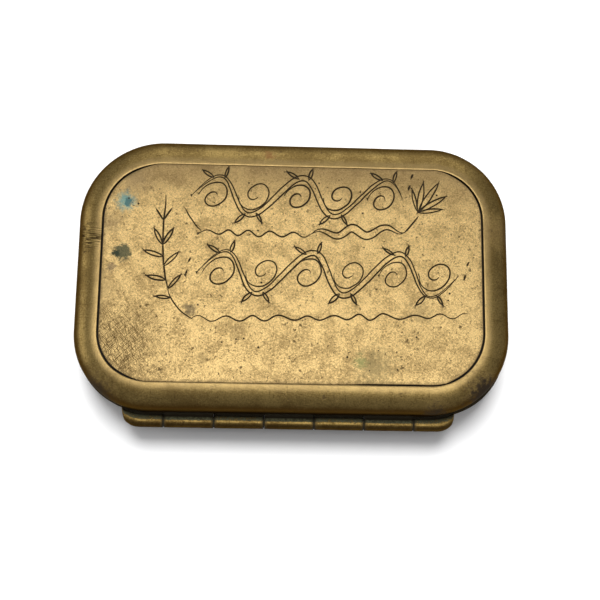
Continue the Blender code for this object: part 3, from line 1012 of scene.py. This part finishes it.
def cutFlower():
    ribbon = cutWave((3.2, 7.7), 21, 0.07, 0.75, 6.2)
    cutSwelling(ribbon, 1.5)
    cut(bendLine(ribbon[-1], 50, 4.1))
    for heading, length in ((104, 5.2), (80, 6.6), (56, 7.6), (32, 6.8), (9, 5.0)):
        cutLeaf((23.6, 12.4), heading, length, 17)


def drawEngraving():
    cutVineRow(-19.6, 15.0, 20.6, 5, 3.8)
    cutVineRow(-18.2, 0.0, 31.2, 6, 4.1)
    cut(bendLine((-20.9, 12.2), -66, 5.4, 3.0, 7.0))
    cut(cutWave((-17.9, 7.7), 3.0, -0.01, 0.55, 4.1))
    cutFlower()
    cutSprig()
    for x, y in ((-19.9, 1.8), (32.8, 2.0), (22.3, 19.3)):
        cutPeck(x, y)
        cutPeck(x - 0.5, y - 2.4, 70, 0.7)


drawEngraving()
print("engraving drawn:", len(cuts), "cuts")


# let-in plates
plateShape = {
    "gapAtSides": 0.34,     # the seam is open at the two ends and corners
    "gapAlong": 0.035,      # and a hairline along the long sides
    "edgeRound": 0.12,
    "grid": 0.75,
    "wave": 0.05,
    "pits": 90,
    "floorPits": 60,
    "seamBand": 1.6,
    "backGrid": 1.15,
    "backColumns": 32,
    "backRows": 18,
    "seed": 41,
}


def seamOpen(x, out):
    # 1 where the seam stands open, 0 where it is a hairline
    hingeRun = easeStep(x, 8, 15) * easeStep(-out.y, 0.9, 1.0)
    return max(easeStep(abs(out.x), 0.05, 0.55), 0.7 * hingeRun)


def plateOutline(extra, seed):
    outline = []
    for spot, out in planPath(0.0, 22, 0.9):
        ends = seamOpen(spot.x, out)
        drift = 0.03 * handUneven(spot.x, spot.y, 0, 7.0, seed)
        gap = plateShape["gapAlong"] + (plateShape["gapAtSides"] - plateShape["gapAlong"]) * ends + drift
        outline.append(spot - out * (reachAt(out) + max(0.03, gap) + extra))
    return outline


def roundPits(count, seed, clearance):
    # small dents: centre, radius, depth
    dice = random.Random(seed)
    pits = []
    halfX, halfY = plateHigh.x - 1.5, plateHigh.y - 1.5
    while len(pits) < count:
        x, y = dice.uniform(-halfX, halfX), dice.uniform(-halfY, halfY)
        radius = 0.1 + 0.22 * dice.random() ** 3
        if max(abs(x) - halfX + 8, 0) + max(abs(y) - halfY + 8, 0) > 9:
            continue
        apart = all(math.hypot(x - pit[0], y - pit[1]) > radius + pit[2] + 0.2 for pit in pits)
        if clearance(x, y) > radius + 0.3 and apart:
            pits.append((x, y, radius, 0.35 * radius))
    return pits


def denseTree(lines):
    # every cut sampled closely, with its width at each place tapering at both ends
    samples = []
    for line, width in lines:
        last = len(line) - 1
        for index in range(last):
            (ax, ay), (bx, by) = line[index], line[index + 1]
            pieces = max(1, round(math.hypot(bx - ax, by - ay) / 0.06))
            for piece in range(pieces):
                part = piece / pieces
                share = (index + part) / last
                taper = 0.5 + 0.5 * min(1, 6 * share, 6 * (1 - share))
                samples.append((ax + (bx - ax) * part, ay + (by - ay) * part, width * taper))
    return treeOf(samples), samples


def flatMesh(outline, innerOutline, lines, pits, nearCut, grid):
    # one flat triangulation that keeps every cut's middle and both its edges
    points, edges = [], []

    def addLine(line, closed=False):
        first = len(points)
        points.extend(Vector(spot[:2]) for spot in line)
        edges.extend((first + step, first + step + 1) for step in range(len(line) - 1))
        if closed:
            edges.append((first + len(line) - 1, first))

    addLine(outline, True)
    addLine(innerOutline, True)
    for line, width in lines:
        addLine(line)
        last = len(line) - 1
        for side in (1, -1):
            shifted = []
            for index, (x, y) in enumerate(line):
                share = index / last
                half = 0.5 * width * (0.5 + 0.5 * min(1, 6 * share, 6 * (1 - share)))
                turn = math.radians(headingAt(line, index))
                shifted.append((x - side * math.sin(turn) * half, y + side * math.cos(turn) * half))
            addLine(shifted)
    for x, y, radius, _ in pits:
        ring = [(x + radius * math.cos(turn * math.pi / 4), y + radius * math.sin(turn * math.pi / 4))
                for turn in range(8)]
        addLine(ring, True)
        points.append(Vector((x, y)))
    edgeTree = treeOf(innerOutline)
    limitX = max(spot[0] for spot in innerOutline)
    limitY = max(spot[1] for spot in innerOutline)
    centre = Vector((0, 0))
    stepsX, stepsY = int(limitX / grid), int(limitY / grid)
    for row in range(-stepsY, stepsY + 1):
        for column in range(-stepsX, stepsX + 1):
            x = (column + (0.5 if row % 2 else 0)) * grid
            y = row * grid
            if nearCut(x, y) < 0.3 or any(math.hypot(x - p[0], y - p[1]) < p[2] + 0.15 for p in pits):
                continue
            spot, _, away = edgeTree.find((x, y, 0))
            inside = (spot.xy - centre).length > (Vector((x, y)) - centre).length
            if away > 0.25 and inside:
                points.append(Vector((x, y)))
    flat, _, triangles, *_ = delaunay_2d_cdt(points, edges, [], 1, 1e-5)
    return flat, triangles


def makeSheetPlate(name, faceZ, backZ, lines, pits, materials, seed):
    # faceZ is the outer face and backZ the one inside the case; both dip towards the sheet's middle
    toBack = 1 if backZ > faceZ else -1
    tree, samples = denseTree(lines)
    nearCut = (lambda x, y: tree.find((x, y, 0))[2]) if samples else (lambda x, y: 99.0)
    rounding = plateShape["edgeRound"]
    outline = plateOutline(0.0, seed)
    ways = [out for _, out in planPath(0.0, 22, 0.9)]
    inner = plateOutline(rounding, seed)
    rimTree = treeOf(outline)
    flat, triangles = flatMesh(outline, inner, lines, pits, nearCut, plateShape["grid"])
    points, groove, seam = [], [], []
    for spot in flat:
        x, y = spot.x, spot.y
        _, edgeIndex, away = rimTree.find((x, y, 0))
        sink = plateShape["wave"] * (0.5 + 0.35 * handUneven(x, y, 0, 11.0, seed)
                                     + 0.15 * handUneven(x, y, 0, 3.0, seed + 2))
        dark = 0.0
        if samples:
            _, index, gap = tree.find((x, y, 0))
            half = samples[index][2] / 2
            if gap < half * 0.98:
                dark = 1 - gap / half
                sink += engraving["depth"] * 2 * half * dark
        for px, py, radius, depth in pits:
            gap = math.hypot(x - px, y - py)
            if gap < radius * 0.6:
                dark = 0.8
                sink += depth
        if away < rounding * 0.6:
            sink += rounding * 0.8
            hair = 0.10 + 0.2 * abs(handUneven(x, y, 0, 4.0, seed + 5))
            dark = hair + (0.8 - hair) * seamOpen(x, ways[edgeIndex])
        points.append((x, y, faceZ + toBack * sink))
        groove.append(dark)
        seam.append(1 - easeStep(away, 0.05, plateShape["seamBand"]))
    faces = [tuple(face) for face in triangles]
    # the boundary loop in order, then the edge wall and the back
    count = {}
    for face in faces:
        for a, b in zip(face, face[1:] + face[:1]):
            count[(a, b)] = count.get((a, b), 0) + 1
    following = {a: b for a, b in count if (b, a) not in count}
    start = next(iter(following))
    loop = [start]
    while following[loop[-1]] != start:
        loop.append(following[loop[-1]])
    frontFaces = len(faces)
    first = len(points)
    back = [Vector((points[index][0], points[index][1])) for index in loop]
    shrunk = [spot * (1 - rounding / spot.length) for spot in back]
    backPoints, backEdges = list(back) + shrunk, []
    size = len(back)
    for ring in (0, size):
        backEdges += [(ring + step, ring + (step + 1) % size) for step in range(size)]
    edgeTree = treeOf(shrunk)
    rows, columns, grid = plateShape["backRows"], plateShape["backColumns"], plateShape["backGrid"]
    for row in range(-rows, rows + 1):
        for column in range(-columns, columns + 1):
            spot = Vector((column * grid, row * grid))
            near, _, away = edgeTree.find((spot.x, spot.y, 0))
            if away > 0.6 and near.xy.length > spot.length:
                backPoints.append(spot)
    backFlat, _, backTriangles, *_ = delaunay_2d_cdt(backPoints, backEdges, [], 1, 1e-5)
    for index, spot in enumerate(backFlat):
        away = rimTree.find((spot.x, spot.y, 0))[2]
        dent = 0.04 * (0.5 + 0.5 * handUneven(spot.x, spot.y, 5, 5.0, seed + 9))
        lift = 0.09 if index < size else dent
        points.append((spot.x, spot.y, backZ - toBack * lift))
        groove.append(0.0)
        seam.append(1 - easeStep(away, 0.6, 4.5))
    faces += [tuple(reversed([first + index for index in face])) for face in backTriangles]
    backFaces = len(faces) - frontFaces
    for step in range(size):
        after = (step + 1) % size
        faces.append((loop[after], loop[step], first + step, first + after))
    slots = [0] * frontFaces + [1] * backFaces + [0] * size
    return buildMesh(name, points, faces, {"groove": groove, "seam": seam}, 28, materials, slots)


def makePlates():
    tree = denseTree(cuts)[0]
    pits = roundPits(plateShape["pits"], plateShape["seed"], lambda x, y: tree.find((x, y, 0))[2])
    lidPlate = makeSheetPlate("lid_plate_engraved", top, plateLow.z, cuts, pits,
                              [plateBrass, insideLidBrass], 2.0)
    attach(lidPlate, "lid")
    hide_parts("lid_plate")
    pits = roundPits(plateShape["floorPits"], plateShape["seed"] + 1, lambda x, y: 99.0)
    basePlate = makeSheetPlate("base_plate_let_in", floorPlateLow.z, floorPlateHigh.z, [], pits,
                               [insideBaseBrass, insideBaseBrass], 23.0)
    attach(basePlate, "base")
    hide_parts("base_plate")
    print("plates made:", len(lidPlate.data.polygons), "and", len(basePlate.data.polygons), "faces")


makePlates()


# hinge
hingeShape = {
    "count": 7,
    "pitch": 9.44,
    "endLength": 8.0,
    "radius": 1.2,
    "slit": 0.26,
    "taper": 3.6,
    "wallGap": 0.04,
    "bore": 0.66,
    "footLow": 0.15,
    "edgeRound": 0.07,
    "ringStep": 0.45,
    "crustHeight": 0.07,
    "tubeSteps": 50,
    "tipRound": 0.7,     # rounding of the barrel's two outer ends
    "dirtSides": 40,
    "dirtGap": 0.02,
    "dirtBite": 0.01,
}


def wallAt(x):
    # how the case's hinge side runs: straight, then round the two corners
    right, left = case["corners"]["hingeRight"], case["corners"]["hingeLeft"]
    half = case["halfLength"]
    recess = 0.0
    for radius, past in ((right, x - (half - right)), (left, -x - (half - left))):
        if past > 0:
            recess = radius - math.sqrt(radius * radius - past * past)
    return -case["halfWidth"] + recess


def knuckleSection():
    # (out from the axis towards the case, up, bore turn, crust, painted shade) once round
    radius, low = hingeShape["radius"], hingeShape["footLow"]
    reach = -case["halfWidth"] - hingeY - hingeShape["wallGap"]
    start, end = 50.0, 360 + math.degrees(math.asin(low / radius))
    steps = hingeShape["tubeSteps"]
    section = []
    for step in range(steps + 1):
        angle = math.radians(start + (end - start) * step / steps)
        out, up = radius * math.cos(angle), radius * math.sin(angle)
        crust = easeStep(out, -0.05, 0.4) * (1 if up > 0 else 0.7)
        # painted shade: the side of the tube facing the case wall, and the foot below it, are painted near
        # black
        paintedShade = 0.95 * easeStep(out, 0.98, 1.18)
        section.append([out, up, angle, crust, paintedShade])
    for step in range(1, 4):
        section.append([radius + (reach - radius) * step / 3, low, None, 0.6, 1.0])
    section.append([reach, 0.4, None, 0.6, 1.0])
    lift = math.radians(start)
    first = Vector((radius * math.cos(lift), radius * math.sin(lift)))
    bend, wallEnd = Vector((1.1, 0.52)), Vector((reach, 0.62))
    for step in range(8):
        part = step / 8
        spot = wallEnd * (1 - part) ** 2 + bend * 2 * part * (1 - part) + first * part ** 2
        section.append([spot.x, spot.y, None, 0.95, 1.0])
    loose = [index for index, row in enumerate(section) if row[2] is None]
    tubeEnd = section[steps][2]
    for place, index in enumerate(loose):
        span = 360 + start - math.degrees(tubeEnd)
        section[index][2] = tubeEnd + math.radians(span * (place + 1) / (len(loose) + 1))
    return section


def knuckleSpan(index):
    shape = hingeShape
    length = (shape["count"] - 2) * shape["pitch"] + 2 * shape["endLength"]
    middle = (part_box("hinge_knuckle_1")[0].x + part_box("hinge_knuckle_7")[1].x) / 2 / mm
    start = middle - length / 2
    ends = (start, start + length)
    if index > 0:
        start += shape["endLength"] + (index - 1) * shape["pitch"]
    endPiece = index in (0, shape["count"] - 1)
    end = start + (shape["endLength"] if endPiece else shape["pitch"])
    start += shape["slit"] / 2 if index > 0 else 0
    end -= shape["slit"] / 2 if index < shape["count"] - 1 else 0
    return start, end, ends


def taperAt(x, ends):
    # 1 along the barrel, falling in a filed round at its two ends
    shape = hingeShape
    into = min(x - ends[0], ends[1] - x)
    if into >= shape["taper"]:
        return 1.0, 1.0
    share = max(0.0, into / shape["taper"])
    plan = math.sqrt(1 - (1 - share) ** 2)
    tip = math.sqrt(max(0.0, 1 - (1 - min(1.0, into / shape["tipRound"])) ** 2))
    return plan, tip


def makeKnuckle(index):
    shape = hingeShape
    start, end, ends = knuckleSpan(index)
    first, last = index == 0, index == shape["count"] - 1
    onLid = index % 2 == 1
    side = 1 if onLid else -1
    section = knuckleSection()
    edge = shape["edgeRound"]
    rings = max(4, round((end - start - 2 * edge) / shape["ringStep"]))
    places = [start + edge + (end - start - 2 * edge) * step / rings for step in range(rings + 1)]
    places = [start, start + edge * 0.3] + places + [end - edge * 0.3, end]
    # the outer ends get rings that close up in a round
    tip = [shape["tipRound"] * (1 - math.cos(math.radians(step * 9))) for step in range(1, 10)]
    if first:
        places = [start + into for into in tip] + [x for x in places if x > start + 0.75]
    if last:
        places = [x for x in places if x < end - 0.75] + [end - into for into in reversed(tip)]
    points, crust, paintedShade, outerShade = [], [], [], []
    depthOut = hingeY - shape["radius"] + case["halfWidth"]
    for x in places:
        toFace = min(x - start + (9 if first else 0), end - x + (9 if last else 0))
        shrink = edge * (1 - math.sqrt(max(0.0, 1 - (1 - min(1.0, toFace / edge)) ** 2)))
        plan, tip = taperAt(x, ends)
        wall = wallAt(x)
        recess = wall + case["halfWidth"]
        stretch = (abs(depthOut) * plan + recess) / abs(depthOut) * tip
        for out, up, turn, crusted, shadeWeight in section:
            length = math.hypot(out, up)
            scale = (length - shrink) / length
            slow = handUneven(x, turn * 2, index * 5, 2.4, 3.0)
            lump = max(0.0, handUneven(x, out * 2, up * 2, 0.55, 8.0) + 0.15) * crusted * shape["crustHeight"]
            scale *= 1 - 0.014 * (1 + slow) + (lump if out > 0.2 and up > 0 else 0)
            if shadeWeight >= 1.0:
                scale = (length - shrink) / length
            y = hingeY + out * scale
            z = hingeZ + side * up * scale if out > -5 else 0
            if plan < 1 or recess > 0:
                y = wall - shape["wallGap"] - (-case["halfWidth"] - shape["wallGap"] - y) * stretch
                z = hingeZ + (z - hingeZ) * (plan ** 0.55) * tip
            points.append((x, y, z))
            # painted shade on the faces at the slits, between the knuckles
            atSlit = 1 - easeStep(toFace, 0.03, 0.3)
            crust.append(min(1.0, crusted * (1 if side * up > 0 or shadeWeight > 0.5 else 0.35)))
            paintedShade.append(max(shadeWeight, 0.85 * atSlit))
            # the barrel's outer side, and the bore, take a painted shade
            outerShade.append(easeStep(-out, -0.1, 0.8))
    count = len(section)
    faces = ringFaces(0, len(places), count)
    lastRing = (len(places) - 1) * count
    boreFrom = start if not first else start + shape["taper"] + 0.25
    boreTo = end if not last else end - shape["taper"] - 0.25
    base, bore = len(points), shape["bore"]
    for x in (boreFrom, boreTo):
        for _, _, turn, *_ in section:
            points.append((x, hingeY + bore * math.cos(turn), hingeZ + side * bore * math.sin(turn)))
            crust.append(0.0)
            paintedShade.append(1.0)
            outerShade.append(1.0)
    for step in range(count):
        after = (step + 1) % count
        faces.append((base + step, base + after, base + count + after, base + count + step))
        if not first:
            faces.append((step, after, base + after, base + step))
        if not last:
            faces.append((lastRing + step, lastRing + after, base + count + after, base + count + step))
    if first:
        faces.append(tuple(range(count)))
        faces.append(tuple(range(base, base + count)))
    if last:
        faces.append(tuple(range(lastRing, lastRing + count)))
        faces.append(tuple(range(base + count, base + 2 * count)))
    node = f"hinge_knuckle_{index + 1}"
    marks = {"crust": crust, "paintedShade": paintedShade, "outer": outerShade}
    knuckle = buildMesh(node + "_tube", points, faces, marks, 40, [hingeBrass])
    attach(knuckle, "lid" if onLid else "base")
    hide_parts(node)


def makeSlitDirtAndShade():
    # old polish and dirt packed between the knuckles, round the pin, made near black so that it also stands
    # in as painted shade in the slits
    shape = hingeShape
    points, faces = [], []
    sides = shape["dirtSides"]
    for index in range(shape["count"] - 1):
        # it sticks to the base's knuckle and stops short of the lid's, which turns past it
        low, high = knuckleSpan(index)[1], knuckleSpan(index + 1)[0]
        if index % 2 == 1:
            low, high = low + shape["dirtGap"], high + shape["dirtBite"]
        else:
            low, high = low - shape["dirtBite"], high - shape["dirtGap"]
        first = len(points)
        rings = ((low, 0.62), (low, 1.0), (low + 0.07, 1.06), (high - 0.07, 1.06), (high, 1.0), (high, 0.62))
        for x, size in rings:
            for side in range(sides):
                angle = 2 * math.pi * side / sides
                rough = 1 + (0.05 * handUneven(index * 7, angle * 2, x, 0.8, 1.0) - 0.03 if size > 0.9 else 0)
                y, z = size * rough * math.cos(angle), size * rough * math.sin(angle)
                points.append((x, hingeY + y, hingeZ + z))
        faces += ringFaces(first, len(rings), sides, True)
        # and a dark crumb down against the case, under the slit: painted shade that closes the slit against
        # the floor behind it
        first = len(points)
        for x in (low, low + 0.12, high - 0.12, high):
            wall = wallAt(x) - 0.05
            for y, z in ((hingeY + 1.0, -0.95), (hingeY + 1.1, -0.30), (wall - 0.12, -0.18), (wall, -0.34),
                         (wall, -0.98)):
                lump = 0.04 * handUneven(x * 3, y * 3, z * 3 + index, 0.6, 2.0)
                points.append((x, y, hingeZ + z + lump))
        faces += ringFaces(first, 4, 5)
        faces += [tuple(range(first, first + 5)), tuple(range(first + 15, first + 20))]
    dirt = buildMesh("hinge_slit_dirt_and_shade", points, faces, None, 50, [dirtAndShadeFill])
    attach(dirt, "base")


def repaint(node, material):
    piece = frame["nodes"][node]
    for place in piece.material_slots:
        place.material = material


for index in range(hingeShape["count"]):
    makeKnuckle(index)
makeSlitDirtAndShade()
repaint("hinge_pin", pinBrass)
repaint("pad_card", cardStock)
print("hinge made")


# flannel pad: pinked all round, quilted with a running stitch, puffed by a cloth simulation
padShape = {
    "bottom": cardHigh.z + 0.04,
    "hem": 0.45,            # thickness of the two layers outside the border stitching
    "start": 1.35,          # thickness before the wool swells
    "mostSwell": 0.9,
    "grid": 0.85,
    "toothPitch": 1.5,
    "toothDepth": 0.7,
    "borderStitch": 2.6,
    "channels": (-12.0, 12.0),
    "stitch": 1.7,
    "stitchGap": 1.0,
    "threadRadius": 0.13,
    "simScale": 25.0,
    "frames": 18,
    "pressure": 9.0,
}


def padEdge(extra):
    inset = case["halfLength"] - padHigh.x
    return [spot - out * extra for spot, out in planPath(inset, 18, padShape["toothPitch"] / 2)]


def pinkedEdge():
    edge = []
    for index, spot in enumerate(padEdge(0.1)):
        inner = padEdge(0.1 + padShape["toothDepth"])[index] if index % 2 else None
        edge.append(inner if inner is not None else spot)
    return edge


def stitchPaths():
    # border and two cross channels, each a list of points
    border = padEdge(padShape["borderStitch"])
    halfY = padHigh.y - padShape["borderStitch"]
    lines = [border + border[:1]]
    for x in padShape["channels"]:
        lines.append([Vector((x + 0.2 * math.sin(step * 0.6), -halfY + 2 * halfY * step / 24))
                      for step in range(25)])
    return lines


def resample(line, pitch):
    out, carried = [], 0.0
    for a, b in zip(line, line[1:]):
        length = (b - a).length
        along = -carried
        while along < length:
            if along >= 0:
                out.append((a.lerp(b, along / length), (b - a).normalized()))
            along += pitch
        carried = length - (along - pitch)
        carried = carried if carried < pitch else 0.0
    return out


def makePad():
    edge = pinkedEdge()
    stitched = stitchPaths()
    stitchTree = treeOf([spot for line in stitched for spot, _ in resample(line, 0.3)])
    innerTree = treeOf(padEdge(padShape["borderStitch"]))
    points = [spot.xy for spot in edge]
    edges = [(index, (index + 1) % len(edge)) for index in range(len(edge))]
    for line in stitched:
        first = len(points)
        line = line[:-1] if line is stitched[0] else line
        points += [spot.xy for spot in line]
        edges += [(first + step, first + step + 1) for step in range(len(line) - 1)]
    ring = padEdge(padShape["toothDepth"] + 0.6)
    ringTree = treeOf(ring)
    points += [spot.xy for spot in ring]
    grid = padShape["grid"]
    rows, columns = round(padHigh.y / grid), round(padHigh.x / grid)
    for row in range(-rows, rows + 1):
        for column in range(-columns, columns + 1):
            spot = Vector(((column + (0.5 if row % 2 else 0)) * grid, row * grid))
            near, _, away = ringTree.find((spot.x, spot.y, 0))
            clear = stitchTree.find((spot.x, spot.y, 0))[2] > 0.45
            if away > 0.5 and near.xy.length > spot.length and clear:
                points.append(spot)
    flat, _, triangles, *_ = delaunay_2d_cdt(points, edges, [], 1, 1e-5)
    upper, lower, held = [], [], []
    hem, bottom = padShape["hem"], padShape["bottom"]
    for spot in flat:
        away = stitchTree.find((spot.x, spot.y, 0))[2]
        near, _, gap = innerTree.find((spot.x, spot.y, 0))
        inside = near.xy.length > spot.length and gap > 0.3
        puff = (padShape["start"] - hem) * easeStep(away, 0.0, 2.2) if inside else 0.0
        flutter = 0.10 * handUneven(spot.x, spot.y, 0, 3.5, 6.0) if not inside else 0.0
        upper.append((spot.x, spot.y, bottom + hem + puff + max(-0.04, flutter)))
        lower.append((spot.x, spot.y, bottom + max(0.0, flutter)))
        held.append(not inside or away < 0.5)
    size = len(flat)
    faces = [tuple(face) for face in triangles]
    faces += [tuple(size + index for index in reversed(face)) for face in triangles]
    count = set()
    for face in triangles:
        for a, b in zip(face, list(face[1:]) + [face[0]]):
            count.add((a, b))
    faces += [(b, a, size + a, size + b) for a, b in count if (b, a) not in count]
    pad = buildMesh("needle_pad_flannel", upper + lower, faces, None, 60, [flannel])
    swellPad(pad, size, held)
    for face in pad.data.polygons:
        face.use_smooth = True
    finer = pad.modifiers.new("finer", "SUBSURF")
    finer.levels = finer.render_levels = 1
    finer.subdivision_type = "SIMPLE"
    soft = pad.modifiers.new("soft", "SMOOTH")
    soft.factor = 0.4
    soft.iterations = 2
    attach(pad, "base")
    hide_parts("needle_pad")
    return pad, stitched


def swellPad(pad, size, held):
    # runs at a size the cloth solver likes, with the stitching and the underside held
    scale = padShape["simScale"]
    mesh = pad.data.copy()
    work = bpy.data.objects.new("pad_swelling", mesh)
    bpy.context.scene.collection.objects.link(work)
    before = [vertex.co.copy() for vertex in mesh.vertices]
    for vertex in mesh.vertices:
        vertex.co = vertex.co * scale
    pinned = work.vertex_groups.new(name="held")
    pinned.add([index for index in range(size) if held[index]] + list(range(size, 2 * size)), 1.0, "REPLACE")
    cloth = work.modifiers.new("swell", "CLOTH")
    settings = cloth.settings
    settings.quality = 5
    settings.mass = 0.3
    settings.tension_stiffness = settings.compression_stiffness = 12
    settings.shear_stiffness = 6
    settings.bending_stiffness = 0.8
    settings.vertex_group_mass = "held"
    settings.use_pressure = True
    settings.uniform_pressure_force = padShape["pressure"]
    settings.effector_weights.gravity = 0
    scene = bpy.context.scene
    cloth.point_cache.frame_start, cloth.point_cache.frame_end = 1, padShape["frames"]
    for step in range(1, padShape["frames"] + 1):
        scene.frame_set(step)
    graph = bpy.context.evaluated_depsgraph_get()
    swollen = work.evaluated_get(graph).to_mesh()
    most = padShape["mostSwell"] * mm
    rise = 0.0
    for index, vertex in enumerate(pad.data.vertices):
        moved = swollen.vertices[index].co / scale - before[index]
        if moved.length > most:
            moved *= most / moved.length
        rise = max(rise, moved.z)
        vertex.co = before[index] + moved
    work.evaluated_get(graph).to_mesh_clear()
    bpy.data.objects.remove(work, do_unlink=True)
    scene.frame_set(1)
    print("pad swelled by", round(rise / mm, 2), "mm at most")


def makeStitches(pad, stitched):
    # each stitch is a short arch of thread from hole to hole
    tree = KDTree(len(pad.data.vertices))
    for index, vertex in enumerate(pad.data.vertices):
        if vertex.co.z / mm > padShape["bottom"] + padShape["hem"] * 0.6:
            tree.insert((vertex.co.x / mm, vertex.co.y / mm, 0), index)
    tree.balance()
    dice = random.Random(6)
    points, faces = [], []
    sides, rings = 8, 7
    for line in stitched:
        for spot, along in resample(line, padShape["stitch"] + padShape["stitchGap"]):
            turn = dice.uniform(-0.12, 0.12)
            along = Vector((along.x - along.y * turn, along.y + along.x * turn))
            across = Vector((-along.y, along.x))
            length = padShape["stitch"] * dice.uniform(0.88, 1.1)
            first = len(points)
            for ring in range(rings):
                share = ring / (rings - 1)
                place = spot + along * length * (share - 0.5)
                height = pad.data.vertices[tree.find((place.x, place.y, 0))[1]].co.z / mm
                arch = height - 0.10 + 0.26 * math.sin(math.pi * share) ** 0.6
                thick = padShape["threadRadius"] * (0.75 + 0.25 * math.sin(math.pi * share))
                for side in range(sides):
                    angle = 2 * math.pi * side / sides
                    push = across * thick * math.cos(angle)
                    points.append((place.x + push.x, place.y + push.y, arch + thick * math.sin(angle)))
            faces += ringFaces(first, rings, sides)
            faces.append(tuple(range(first, first + sides)))
            faces.append(tuple(range(first + (rings - 1) * sides, first + rings * sides)))
    stitches = buildMesh("pad_running_stitch", points, faces, None, 70, [thread])
    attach(stitches, "base")


pad, stitched = makePad()
makeStitches(pad, stitched)
print("pad and stitching made")
